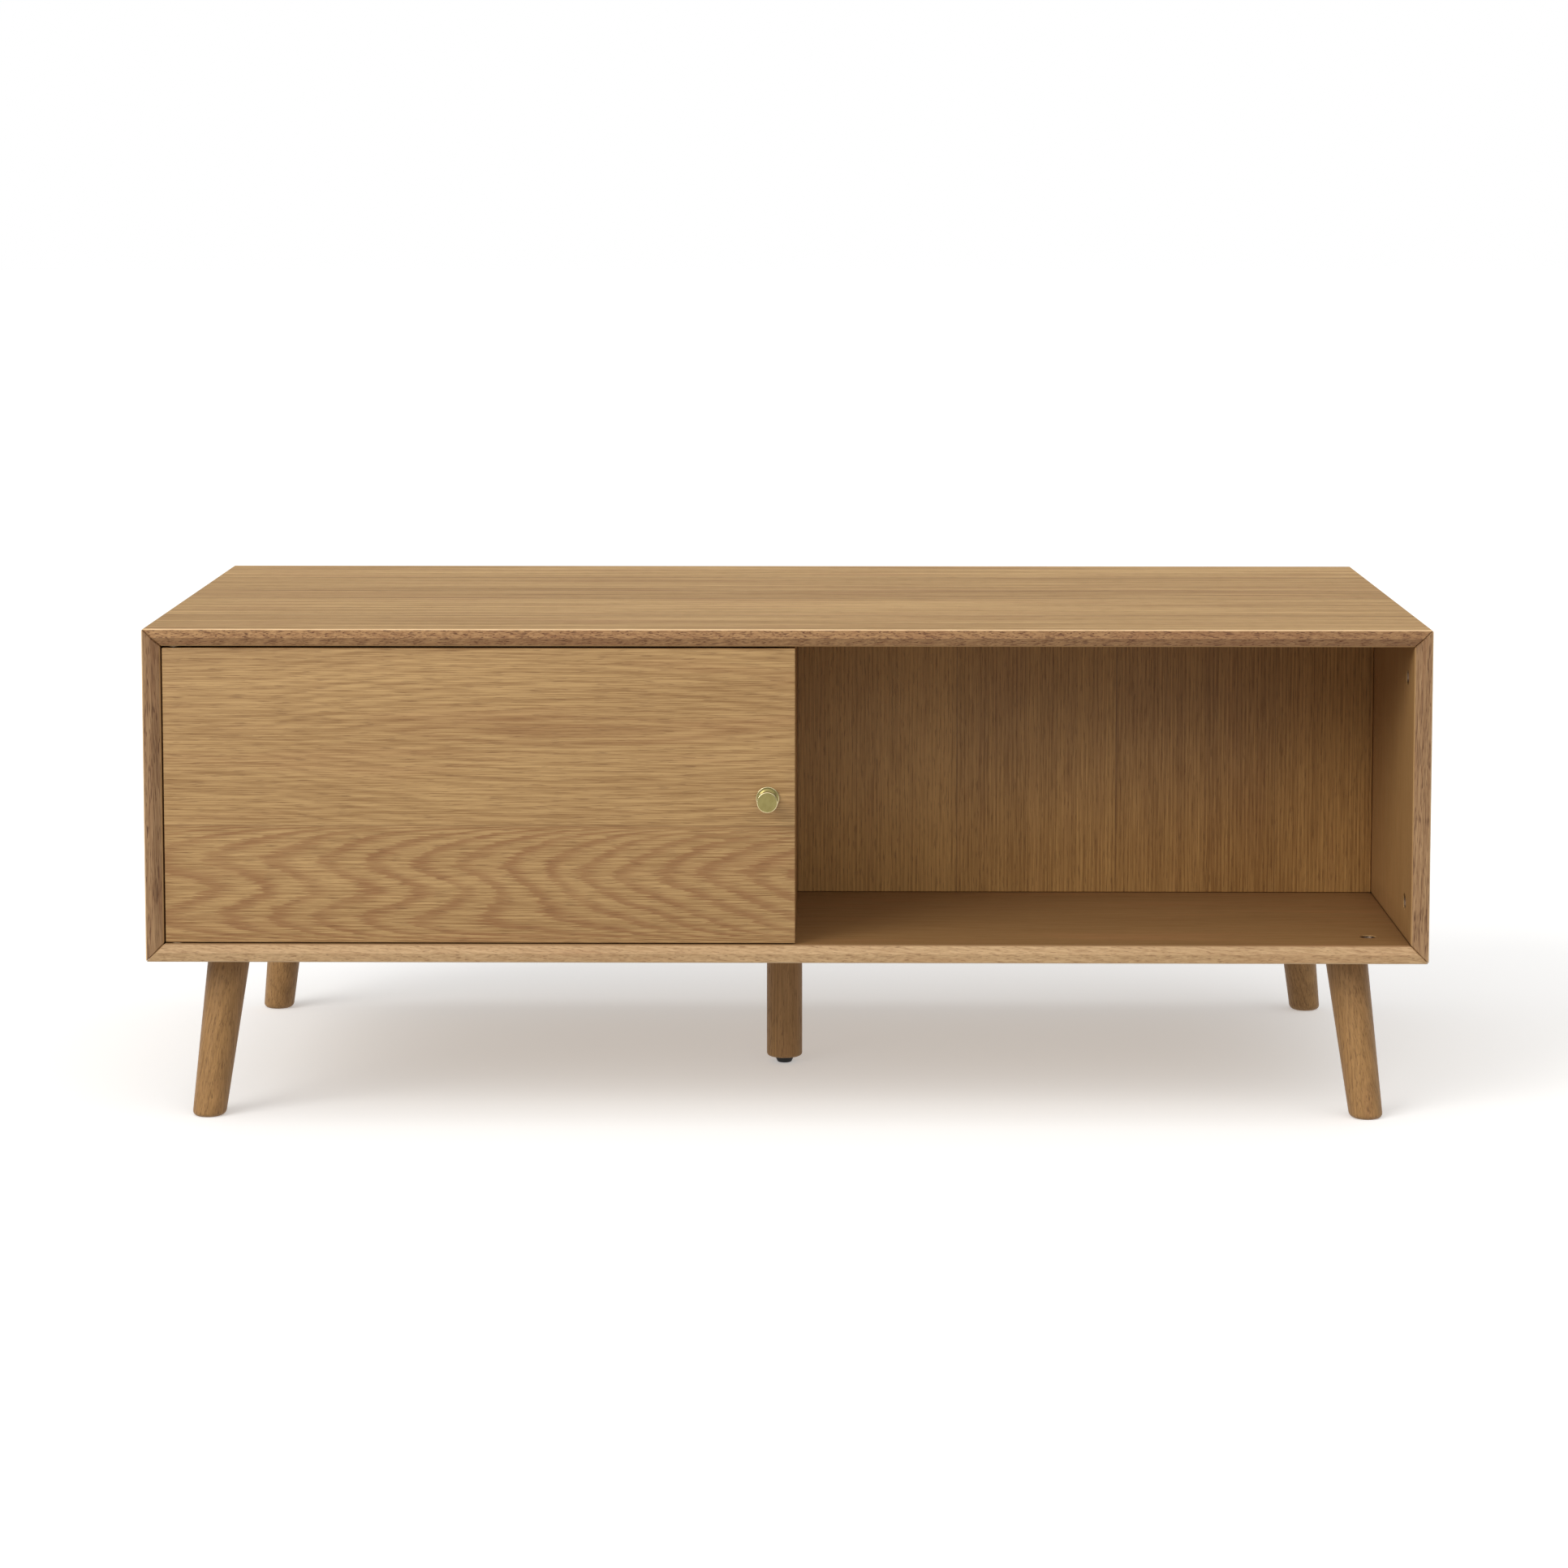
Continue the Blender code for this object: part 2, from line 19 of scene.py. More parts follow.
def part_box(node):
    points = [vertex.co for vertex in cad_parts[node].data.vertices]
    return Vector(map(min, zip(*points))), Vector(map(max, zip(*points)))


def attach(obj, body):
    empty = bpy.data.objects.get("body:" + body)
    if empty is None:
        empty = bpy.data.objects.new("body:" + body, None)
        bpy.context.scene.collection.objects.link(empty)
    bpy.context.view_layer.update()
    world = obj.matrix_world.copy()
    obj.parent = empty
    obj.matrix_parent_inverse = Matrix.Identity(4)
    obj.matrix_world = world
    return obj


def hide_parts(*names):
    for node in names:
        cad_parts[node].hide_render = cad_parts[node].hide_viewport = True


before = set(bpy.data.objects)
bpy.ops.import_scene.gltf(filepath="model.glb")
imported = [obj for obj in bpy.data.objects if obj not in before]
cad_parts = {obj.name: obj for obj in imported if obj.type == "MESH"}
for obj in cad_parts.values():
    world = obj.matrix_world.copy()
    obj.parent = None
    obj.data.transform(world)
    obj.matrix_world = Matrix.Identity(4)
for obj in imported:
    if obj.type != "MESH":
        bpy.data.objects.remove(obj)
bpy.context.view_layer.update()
print("pieces in the design:", len(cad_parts))

# %% [markdown]
# ## Sizes
#
# A maker measures the carcass before cutting any veneer. Here the boxes of a few parts give
# the outside of the case and the thickness of its boards, so that nothing is typed twice.
# The small shapes that a box can't tell, such as the bevel of the front edge, are named values.

# %% Measure the case and name the small sizes
case_left, case_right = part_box("left_side_panel")[0].x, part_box("right_side_panel")[1].x
case_bottom, case_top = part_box("bottom_panel")[0].z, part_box("top_panel")[1].z
case_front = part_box("front_top_lipping")[0].y
case_width, case_height, half_depth = case_right - case_left, case_top - case_bottom, -case_front
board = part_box("partition")[1].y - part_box("partition")[0].y
strip_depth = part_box("front_top_lipping")[1].y - case_front
VENEER = 0.0010
EDGE_FLAT = 0.0085  # flat outer part of the case's front edge
EDGE_FALL = 0.0055  # how far its bevelled inner part falls back
CORNER_EASE = 0.0012  # taken off the long corners of the case
JOINT_EASE = 0.0006  # taken off both sides of every mitre, which makes a fine V
JOINT_GAP = 0.0003
ROUND = 96  # sides of a turned piece
WELD = 0.000001  # points nearer to each other than this are one point
SLACK = 0.0001  # lengths that differ by less than this count as equal
print(f"case {case_width:.3f} x {2 * half_depth:.3f} x {case_height:.3f}, boards {board:.4f}")

# %% [markdown]
# ## The camera
#
# The unit is seen from standing height, four metres away, with a long lens that keeps its
# sides almost upright. A lens shift lowers the picture, as on a view camera, so that the
# camera needs only a small tilt. The camera stands a little right of the middle and is
# turned a little to the left.

# %% Camera
CAMERA_PLACE = Vector((0.0347, -4.0737, 0.9030))
CAMERA_TILT = math.radians(5.40)
CAMERA_TURN = math.radians(0.561)
LENS = 93.96  # millimetres, on a sensor 36 mm wide
LENS_SHIFT = -0.15  # as a share of the picture's width
camera = bpy.data.objects.new("camera", bpy.data.cameras.new("camera"))
bpy.context.scene.collection.objects.link(camera)
camera.location = CAMERA_PLACE
camera.rotation_euler = (math.pi / 2 - CAMERA_TILT, 0, CAMERA_TURN)
camera.data.lens = LENS
camera.data.shift_y = LENS_SHIFT
bpy.context.scene.camera = camera
print("camera at", tuple(round(number, 3) for number in camera.location))

# %% [markdown]
# ## Shader sums in plain Python
#
# A material is a graph of nodes, and a long graph is hard to read as code. The small class
# below wraps one output of a node. Python's own signs then add Math nodes, so that
# `1 - mask` works, and one method makes every other node from its type, its settings and
# its inputs.


# %% One class for sockets
class Wire:
    """One output of a shader node, which sums and products can be built on."""

    def __init__(self, tree, socket=None):
        self.tree = tree
        self.socket = socket

    def node(self, kind, settings=None, inputs=None, output=0):
        """Adds a node: its settings first, then the values or links of its sockets."""
        made = self.tree.nodes.new("ShaderNode" + kind)
        for name, value in (settings or {}).items():
            if name == "stops":
                while len(made.color_ramp.elements) < len(value):
                    made.color_ramp.elements.new(1)
                for stop, (place, tone) in zip(made.color_ramp.elements, value):
                    stop.position, stop.color = place, tone
            else:
                setattr(made, name, value)
        for name, value in (inputs or {}).items():
            if isinstance(value, Wire):
                self.tree.links.new(value.socket, made.inputs[name])
            else:
                made.inputs[name].default_value = value
        return Wire(self.tree, made.outputs[output] if len(made.outputs) else None)

    def math(self, operation, *values):
        return self.node("Math", {"operation": operation}, dict(enumerate(values)))

    def __add__(self, other):
        return self.math("ADD", self, other)

    def __radd__(self, other):
        return self.math("ADD", other, self)

    def __sub__(self, other):
        return self.math("SUBTRACT", self, other)

    def __rsub__(self, other):
        return self.math("SUBTRACT", other, self)

    def __mul__(self, other):
        return self.math("MULTIPLY", self, other)

    def __rmul__(self, other):
        return self.math("MULTIPLY", other, self)

    def __truediv__(self, other):
        return self.math("DIVIDE", self, other)

    def __pow__(self, other):
        return self.math("POWER", self, other)

    def __abs__(self):
        return self.math("ABSOLUTE", self)

    def between(self, low, high, smooth=True):
        """0 below low, 1 above high, and an even rise in the middle."""
        settings = {"interpolation_type": "SMOOTHSTEP" if smooth else "LINEAR"}
        return self.node("MapRange", settings, {"Value": self, "From Min": low, "From Max": high})

    def cosine(self):
        return self.math("COSINE", self)

    def wave(self):
        """0 to 1 and back as the value grows by one."""
        return 0.5 - 0.5 * (self * (2 * math.pi)).cosine()

    def blend(self, first, second):
        """Mixes two colours, with this value as the share of the second."""
        settings = {"data_type": "RGBA"}
        return self.node("Mix", settings, {0: self, 6: first, 7: second}, output=2)


def tone(red, green, blue):
    """A colour as a screen shows it, 0 to 255, in the linear values that shaders use."""
    def linear(value):
        share = value / 255
        return share / 12.92 if share <= 0.04045 else ((share + 0.055) / 1.055) ** 2.4

    return linear(red), linear(green), linear(blue), 1


def new_finish(name, roughness, metallic=0.0):
    """An empty material: the material, a Wire to start sums from, and its shader."""
    material = bpy.data.materials.new(name)
    material.use_nodes = True
    shader = material.node_tree.nodes["Principled BSDF"]
    shader.inputs["Roughness"].default_value = roughness
    shader.inputs["Metallic"].default_value = metallic
    return material, Wire(material.node_tree), shader


print("sockets can be added, multiplied and mixed")

# %% [markdown]
# ## Light and floor
#
# A furniture studio uses one big soft box to the left of the camera, a lit ceiling and pale
# walls that fill the shadows. A sun lamp with a wide angle stands for the soft box: it lights
# the whole floor evenly, and its shadows still have soft edges. A second one from above
# stands for the ceiling. The world stands for the walls. It is white where the camera sees
# it and dimmer as a source of light, and the light that comes back up from the floor is part
# of it too, so the floor itself is left out of the bounced light. The floor's paint also
# glows a little, which keeps the shadow under the unit pale.

# %% Lights, world and floor
def soft_sun(name, towards, power, width):
    """A sun that shines in a direction, with a soft edge so many degrees wide."""
    lamp = bpy.data.lights.new(name, "SUN")
    lamp.energy = power
    lamp.angle = math.radians(width)
    lamp.color = (1.0, 0.985, 0.96)
    made = bpy.data.objects.new(name, lamp)
    bpy.context.scene.collection.objects.link(made)
    made.rotation_euler = Vector(towards).to_track_quat("-Z", "Y").to_euler()


soft_sun("soft_box", (0.60, 0.62, -0.50), power=1.2, width=35)
soft_sun("ceiling_light", (0.02, 0.45, -0.89), power=1.5, width=100)
WALLS = 0.33  # how bright the walls are as a light
world = bpy.data.worlds.new("studio")
bpy.context.scene.world = world
world.use_nodes = True
walls = Wire(world.node_tree)
seen = walls.node("LightPath", output="Is Camera Ray")
background = world.node_tree.nodes["Background"]
background.inputs["Color"].default_value = (1, 1, 1, 1)
world.node_tree.links.new((seen * (1 - WALLS) + WALLS).socket, background.inputs["Strength"])

print("two lamps and a white world")

# %% Floor
FLOOR_REACH = 30.0
FLOOR_PAINT = (0.86, 0.86, 0.86, 1)
FLOOR_GLOW = 0.35
bm = bmesh.new()
bmesh.ops.create_grid(bm, x_segments=1, y_segments=1, size=FLOOR_REACH)
floor_mesh = bpy.data.meshes.new("studio_floor")
bm.to_mesh(floor_mesh)
bm.free()
studio_floor = bpy.data.objects.new("studio_floor", floor_mesh)
bpy.context.scene.collection.objects.link(studio_floor)
floor_finish, start, shader = new_finish("floor_paint", roughness=0.9)
shader.inputs["Base Color"].default_value = FLOOR_PAINT
shader.inputs["Emission Color"].default_value = (1, 1, 1, 1)
shader.inputs["Emission Strength"].default_value = FLOOR_GLOW
floor_mesh.materials.append(floor_finish)
studio_floor.visible_diffuse = False
bpy.context.scene.view_settings.view_transform = "Standard"
print("a floor", 2 * FLOOR_REACH, "m wide")

# %% [markdown]
# ## How oak looks
#
# Oak is a ring-porous wood. Each year begins with a row of wide pores, which show as short
# dark dashes along the grain, and ends with dense, smoother wood. A straight cut shows this
# as fine lines, and a cut that skims the rings shows pointed arches.
#
# A picture of oak could be wrapped round the boards, but it would stretch and repeat. Here
# the wood is worked out instead. Each board carries its own place in a log, as an attribute
# called "grain": how far along the fibres, how far across the face, and how deep. Noise that
# is drawn out along the first of these gives fibres and pores.


# %% Building blocks of the wood
def streaks(place, length, width, detail=2.0, offset=0.0):
    """Noise drawn out along the grain, in streaks about so long and so wide."""
    scaled = place.node(
        "VectorMath", {"operation": "MULTIPLY"}, {0: place, 1: (1 / length, 1 / width, 1 / width)}
    )
    moved = place.node("VectorMath", {"operation": "ADD"}, {0: scaled, 1: (offset,) * 3})
    return place.node("TexNoise", None, {"Vector": moved, "Scale": 1.0, "Detail": detail})


class Log:
    """The place of a point in its log, and in which leaf of veneer it lies."""

    def __init__(self, start, seams=(), slope=0.0, seam_width=0.0007):
        grain = start.node("Attribute", {"attribute_name": "grain"}, output="Vector")
        split = [grain.node("SeparateXYZ", None, {0: grain}, output=axis) for axis in range(3)]
        self.along, self.across, self.depth = split
        self.across = self.across + self.along * slope
        self.leaf, self.seam = start.math("ADD", 0, 0), start.math("ADD", 0, 0)
        for edge in seams:
            offset = self.across - edge
            self.leaf = self.leaf + offset.math("GREATER_THAN", offset, 0)
            line = 1 - abs(offset).between(seam_width / 3, seam_width)
            self.seam = self.seam.math("MAXIMUM", self.seam, line)
        self.chance = self.leaf.node("TexWhiteNoise", {"noise_dimensions": "1D"}, {"W": self.leaf})
        self.place = start.node(
            "CombineXYZ", None, {0: self.along + self.chance * 5, 1: self.across, 2: self.depth}
        )

    def sway(self, length=0.45, width=0.05, offset=3.0):
        """A slow wander, from -0.5 to 0.5."""
        return streaks(self.place, length, width, offset=offset) - 0.5

    def straight(self, pitch, waviness=0.008):
        """Growth rings that run nearly straight along the board, one for each whole number."""
        return (self.across + self.depth * 0.6 + self.sway() * waviness) / pitch

    def spindle(self, middle, height, reach, rise, pitch):
        """Rings that part round a long pointed eye."""
        offset = self.across - height + self.sway(0.30, 0.03) * 0.006
        share = (self.along - middle) / reach
        bulge = (share * share).math("MINIMUM", share * share, 1.6)
        return ((offset * offset + 0.000006) ** 0.5 + bulge * rise) / pitch

    def arrows(self, height, slope, pitch):
        """Rings that close in points towards one end, as a leaf cut across the rings shows."""
        offset = self.across - height + self.sway(0.10, 0.015) * 0.004
        return ((offset * offset + 0.000004) ** 0.5 + self.along * slope) / pitch


def oak(name, pale, mid, pore, year, log, start, shader, material, figure=None, **looks):
    """Lacquered oak in three tones. year counts the rings, and figure lays bands over them.

    The looks are shares from 0 to 1, apart from contrast, tones, widths and sizes.
    """
    pores, contrast = looks.get("pores", 1.0), looks.get("contrast", 1.0)
    roughness = looks.get("roughness", 0.5)
    place = log.place
    early = year.wave()
    cloud = streaks(place, 0.50, looks.get("cloud_width", 0.030), offset=11.0).between(0.38, 0.62)
    fibre = streaks(place, 0.12, 0.0018, offset=23.0).between(0.38, 0.62)
    fine = streaks(place, 0.045, 0.0009, detail=1.0, offset=37.0).between(0.38, 0.62)
    ring_share, cloud_share = looks.get("ring_share", 0.22), looks.get("cloud_share", 0.18)
    rest = 1 - ring_share - cloud_share
    shade = cloud * cloud_share + fibre * rest * 0.35 + fine * rest * 0.65 + early * ring_share
    shade = shade + (log.chance - 0.5) * looks.get("leaf_contrast", 0.3)
    shade = ((shade - 0.5) * contrast + 0.5).between(0.0, 1.0, smooth=False)
    ground = shade.blend(pale, mid)
    warm = streaks(place, 0.20, 0.018, offset=71.0).between(0.50, 0.72) * looks.get("warm", 0.2)
    ground = warm.blend(ground, looks.get("warm_tone", tone(176, 124, 82)))
    glint = streaks(place, 0.16, 0.0035, offset=77.0).between(0.60, 0.72) * looks.get("glints", 0.0)
    ground = glint.blend(ground, pale)
    if figure:
        mask, band = figure
        ground = mask.blend(ground, band)
    length, width = looks.get("pore_size", (0.020, 0.0007))
    dash = streaks(place, length, width, detail=1.0, offset=51.0) + early * 0.07
    open_pore = dash.between(0.62, 0.72) * pores
    colour = open_pore.blend(ground, pore)
    colour = (log.seam * looks.get("seam", 0.45)).blend(colour, pore)
    start.tree.links.new(colour.socket, shader.inputs["Base Color"])
    relief = 1 - open_pore - fine * 0.15 - log.seam * 0.5
    bump = relief.node("Bump", None, {"Strength": 0.25, "Distance": 0.0002, "Height": relief})
    start.tree.links.new(bump.socket, shader.inputs["Normal"])
    dull = open_pore * 0.15 + fine * 0.06 + (roughness - 0.03)
    start.tree.links.new(dull.socket, shader.inputs["Roughness"])
    return material


print("one log class and one oak finish")

# %% [markdown]
# ### The veneer of the outside
#
# A veneered face is made of leaves sliced from one block and laid side by side. The top has
# five leaves, and the middle one is cut across the rings, so that its lines close in long
# arrows. The sides and the underside are other places of the same log.

# %% The top's veneer
TOP_SEAMS = (-0.182, -0.028, 0.047, 0.177)
ARROW_LEAF = 2
material, start, shader = new_finish("top_oak", 0.5)
log = Log(start, seams=TOP_SEAMS, seam_width=0.0022)
leaves_away = abs(log.leaf - ARROW_LEAF)
arrow_leaf = leaves_away.math("LESS_THAN", leaves_away, 0.5)
arrows = log.arrows(0.007, 0.055, 0.018).wave().between(0.55, 1.0) * arrow_leaf * 0.35
level = streaks(log.place, 0.9, 0.013, offset=5.0).between(0.30, 0.70) * 1.5
top_oak = oak(
    "top_oak", tone(216, 176, 118), tone(164, 124, 72), tone(112, 74, 38), level, log, start,
    shader, material, figure=(arrows, tone(150, 108, 64)), pores=0.5, leaf_contrast=0.25,
    warm=0.30, ring_share=0.24, cloud_share=0.40, cloud_width=0.008, seam=0.6, contrast=1.2,
    glints=0.7,
)
print("the top has", len(TOP_SEAMS) + 1, "leaves")

# %% [markdown]
# ### The veneer of the doors
#
# The door's lower leaf is the liveliest: its rings cross it in ragged zigzag bands, because
# each row of fibres lies a little further along than the last. Above it the lines run level
# and part round a long pointed eye. Bands could be painted by hand, but a sum does it for
# both doors: a count that grows along the leaf, pushed to and fro by the height, and noise
# that breaks its edge into rows of fibres.

# %% The lower leaf's bands
DOOR_SEAM, LEAF_FOOT = 0.2856, 0.1747  # heights of the leaf's upper and lower edge
ZIGZAG_REACH = 0.019  # how far the tips of a zigzag stand out
POINT_HEIGHT = 0.58  # the single point of a band on the right, as a share of the leaf
POINT_SLOPE = 0.26
BAND_PITCH, BAND_NARROWING = 0.044, 0.010


def zigzag_bands(log):
    """How strongly a band shows: 1 where a year's first pores begin, fading after them."""
    height = (log.across - LEAF_FOOT) / (DOOR_SEAM - LEAF_FOOT)
    zigzag = ((height - 0.70) * (4 * math.pi)).cosine() * ZIGZAG_REACH
    tip = height - POINT_HEIGHT
    point = (tip * tip + 0.003) ** 0.5 * -POINT_SLOPE + 0.06
    rightness = log.along.between(-0.34, -0.14)
    # Near the leaf's two edges every band falls back fast.
    fall = abs(height * 2 - 1) ** 12 * 0.12
    push = zigzag + (point - zigzag) * rightness - fall
    ragged = (streaks(log.place, 0.035, 0.0011, offset=91.0) - 0.5) * 0.036
    drift = log.sway(0.16, 0.05, offset=97.0) * 0.05
    pitch = BAND_PITCH - (log.along - case_left) * BAND_NARROWING
    count = (log.along + push + ragged + drift) / pitch
    share = count.math("FRACT", count)
    patchy = streaks(log.place, 0.07, 0.030, offset=41.0).between(0.30, 0.60) * 0.40 + 0.60
    return share.between(0.0, 0.10) * (1 - share.between(0.22, 0.66)) * patchy


print(f"a leaf {DOOR_SEAM - LEAF_FOOT:.3f} high, with a band every {BAND_PITCH} m")

# %% The door's veneer
material, start, shader = new_finish("door_oak", 0.5)
log = Log(start, seams=(DOOR_SEAM,))
lower = 1 - log.leaf
upper_rings = log.spindle(-0.20, 0.375, 0.22, 0.020, 0.0085)
year = upper_rings + (log.straight(0.0035) - upper_rings) * lower
rows = streaks(log.place, 0.05, 0.0012, offset=83.0).between(0.35, 0.65) * 0.35 + 0.65
bands = zigzag_bands(log) * rows * lower * 0.95
eye = 1 - (upper_rings / 3.2).between(0.0, 1.0)
eye_rings = eye * (1 - lower) * (upper_rings.wave() * 0.30 + 0.10)
door_oak = oak(
    "door_oak", tone(210, 170, 114), tone(158, 118, 70), tone(112, 74, 38), year, log, start,
    shader, material, figure=(bands + eye_rings, tone(156, 110, 66)), pores=0.50, warm=0.14,
    leaf_contrast=0, ring_share=0.16, cloud_share=0.14,
)
print("made", door_oak.name)

# %% [markdown]
# ### The veneers of the inside
#
# The inner faces are plain, darker leaves with straight lines, and the base is the darkest of
# them. The partition has the strongest lines, upright, in narrow leaves of one width.

# %% The inner faces, the base and the partition
INNER_SEAMS = (0.16, 0.32)
PARTITION_LEAF, PARTITION_START = 0.159, 0.009
material, start, shader = new_finish("inner_oak", 0.5)
log = Log(start, seams=INNER_SEAMS)
inner_oak = oak(
    "inner_oak", tone(186, 146, 94), tone(160, 120, 72), tone(120, 84, 46), log.straight(0.005),
    log, start, shader, material, pores=0.25, contrast=0.6,
)

material, start, shader = new_finish("base_oak", 0.5)
log = Log(start, seams=INNER_SEAMS)
base_oak = oak(
    "base_oak", tone(166, 128, 82), tone(138, 100, 58), tone(104, 70, 38), log.straight(0.005),
    log, start, shader, material, pores=0.25, contrast=0.6, warm=0.3,
)

material, start, shader = new_finish("partition_oak", 0.5)
log = Log(start, seams=[PARTITION_START + PARTITION_LEAF * number for number in range(-3, 4)])
partition_oak = oak(
    "partition_oak", tone(210, 164, 100), tone(150, 108, 58), tone(92, 60, 30),
    log.straight(0.0040, 0.004), log, start, shader, material, pores=0.35, leaf_contrast=0.5,
    pore_size=(0.014, 0.0010), warm=0.1, ring_share=0.24, cloud_share=0.20,
    cloud_width=0.012,
)
print("inner veneers:", [finish.name for finish in (inner_oak, base_oak, partition_oak)])

# %% [markdown]
# ### Solid oak
#
# The edge strips and the legs are solid. Their pores are longer and darker, and rays show as
# flecks that slant a little over the edge. The upper strip is given the darkest tones and the
# lower one the palest. The upper strip also darkens towards its +X end: that is painted shade,
# where the soft box's light falls off along it. The veneer's own cut edge is nearly bare and
# pale, and its tone is paler still as a painted highlight along the front.


# %% The strips, the legs and the veneer's edge
def solid(name, pale, mid, pore, slope, fleck, rings=0.0045, darker=0.0, **looks):
    """Solid oak whose flecks run at a slope. darker is how much painted shade darkens it towards its
    far end.
    """
    material, start, shader = new_finish(name, 0.5)
    log = Log(start, slope=slope)
    flecks = streaks(log.place, 0.026, 0.0014, detail=1.0, offset=61.0).between(0.60, 0.67)
    # Painted shade: a darkening towards the +X end, where the soft box's light falls off.
    painted_falloff = log.along.between(-0.4, 0.7, smooth=False)
    return oak(
        name, pale, mid, pore, log.straight(rings), log, start, shader, material,
        figure=(flecks * fleck + painted_falloff * darker, pore), **looks,
    )


# The upper strip darkens towards its +X end: painted shade for the soft box's falloff.
upper_strip_oak = solid(
    "upper_strip_oak", tone(210, 164, 112), tone(162, 116, 74), tone(100, 60, 34), 0.17, 0.55,
    warm=0.35, warm_tone=tone(160, 106, 68), darker=0.30, cloud_share=0.15, ring_share=0.2,
)
lower_strip_oak = solid(
    "lower_strip_oak", tone(214, 178, 132), tone(180, 142, 98), tone(136, 98, 60), 0.12, 0.25,
    pores=0.6,
)
side_strip_oak = solid(
    "side_strip_oak", tone(184, 146, 104), tone(140, 102, 66), tone(98, 64, 38), 0.04, 0.45,
    warm=0.5, warm_tone=tone(158, 98, 62),
)
leg_oak = solid(
    "leg_oak", tone(190, 144, 88), tone(148, 108, 60), tone(100, 68, 38), 0.0, 0.15,
    rings=0.0042, pores=0.6, pore_size=(0.010, 0.0007), contrast=0.9,
)
STRIP_OAKS = {"top": upper_strip_oak, "bottom": lower_strip_oak}
# The cut edge's pale tone is partly the bare wood and partly a painted highlight along the front.
cut_edge_and_highlight, start, shader = new_finish("veneer_edge_and_highlight", roughness=0.5)
fine = streaks(start.node("Attribute", {"attribute_name": "grain"}, output="Vector"), 0.02, 0.001)
edge_tone_and_highlight = fine.between(0.35, 0.65).blend(tone(244, 208, 160), tone(226, 188, 140))
cut_edge_and_highlight.node_tree.links.new(edge_tone_and_highlight.socket, shader.inputs["Base Color"])
print("oak finishes:", [m.name for m in bpy.data.materials if "oak" in m.name])

# %% [markdown]
# ## From a mesh to a piece
#
# Every piece below ends the same way: its mesh becomes an object at the origin, rides on a
# body of the design and stands for the parts that it covers. Wood also gets its place in the
# log here, after all cutting is done, as a sawn board does.


# %% Finish a piece
def lay_grain(bm, along, across, start=(0, 0, 0)):
    """Writes each point's place in the log, from the directions along and across the grain."""
    layer = bm.verts.layers.float_vector.new("grain")
    along, across = Vector(along).normalized(), Vector(across).normalized()
    depth = along.cross(across)
    for vert in bm.verts:
        local = Vector((vert.co.dot(along), vert.co.dot(across), vert.co.dot(depth)))
        vert[layer] = local + Vector(start)


def put(name, bm, finishes, body, nodes, smooth=30):
    """Makes the bmesh a piece that rides on a body and stands for these nodes."""
    mesh = bpy.data.meshes.new(name)
    bm.to_mesh(mesh)
    bm.free()
    for finish in finishes:
        mesh.materials.append(finish)
    mesh.shade_smooth()
    mesh.set_sharp_from_angle(angle=math.radians(smooth))
    piece = bpy.data.objects.new(name, mesh)
    bpy.context.scene.collection.objects.link(piece)
    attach(piece, body)
    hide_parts(*nodes)


def saw(bm, point, outward):
    """Cuts off what lies beyond a plane and closes the cut."""
    geometry = bm.verts[:] + bm.edges[:] + bm.faces[:]
    bmesh.ops.bisect_plane(bm, geom=geometry, plane_co=point, plane_no=outward, clear_outer=True)
    bmesh.ops.holes_fill(bm, edges=[edge for edge in bm.edges if edge.is_boundary], sides=0)


def planed(outline, length):
    """A bar along X: an outline in Y and Z, drawn out to both sides of the middle."""
    bm = bmesh.new()
    start = [bm.verts.new((-length / 2, y, z)) for y, z in outline]
    bm.faces.new(start)
    made = bmesh.ops.extrude_face_region(bm, geom=bm.faces[:])
    moved = [item for item in made["geom"] if isinstance(item, bmesh.types.BMVert)]
    bmesh.ops.translate(bm, verts=moved, vec=(length, 0, 0))
    bmesh.ops.recalc_face_normals(bm, faces=bm.faces)
    return bm


def carved(bm, cutters):
    """Takes the cutters out of a mesh with a Boolean that is applied at once."""
    made = []
    for name, source in (("blank", bm), ("cutters", cutters)):
        mesh = bpy.data.meshes.new(name)
        source.to_mesh(mesh)
        source.free()
        made.append(bpy.data.objects.new(name, mesh))
        bpy.context.scene.collection.objects.link(made[-1])
    boolean = made[0].modifiers.new("holes", "BOOLEAN")
    boolean.operation = "DIFFERENCE"
    boolean.object = made[1]
    graph = bpy.context.evaluated_depsgraph_get()
    result = bmesh.new()
    result.from_mesh(made[0].evaluated_get(graph).to_mesh())
    for leftover in made:
        bpy.data.objects.remove(leftover)
    return result


def drilled(bm, holes):
    """Cuts round holes, each (radius, start, end)."""
    cutters = bmesh.new()
    for radius, start, end in holes:
        start, end = Vector(start), Vector(end)
        turn = (end - start).to_track_quat("Z", "Y").to_matrix().to_4x4()
        where = Matrix.Translation((start + end) / 2) @ turn
        bmesh.ops.create_cone(
            cutters, cap_ends=True, segments=48, radius1=radius, radius2=radius,
            depth=(end - start).length, matrix=where,
        )
    return carved(bm, cutters)


print("ready to cut wood")

# %% [markdown]
# ## The four boards of the case
#
# Each board is a veneered panel with a strip of solid oak glued to its front and rear edge.
# The veneer runs over the strips, so from above no joint shows, only the cut edge of the
# veneer as a pale line along the front. That line is partly the bare wood's own tone and partly
# a painted highlight. The strip's outer half is flat and its inner half is planed back at a
# slant towards the opening. The ends are mitred, and both sides of every mitre are eased, so
# that the joint reads as a fine dark line.
#
# All four boards are the same shape in two lengths. Each is planed lying flat, outer face
# up, sawn at its ends, and then set in place by a matrix. Half a turn about Z in the flat
# position swaps front and rear, so one outline serves both strips.

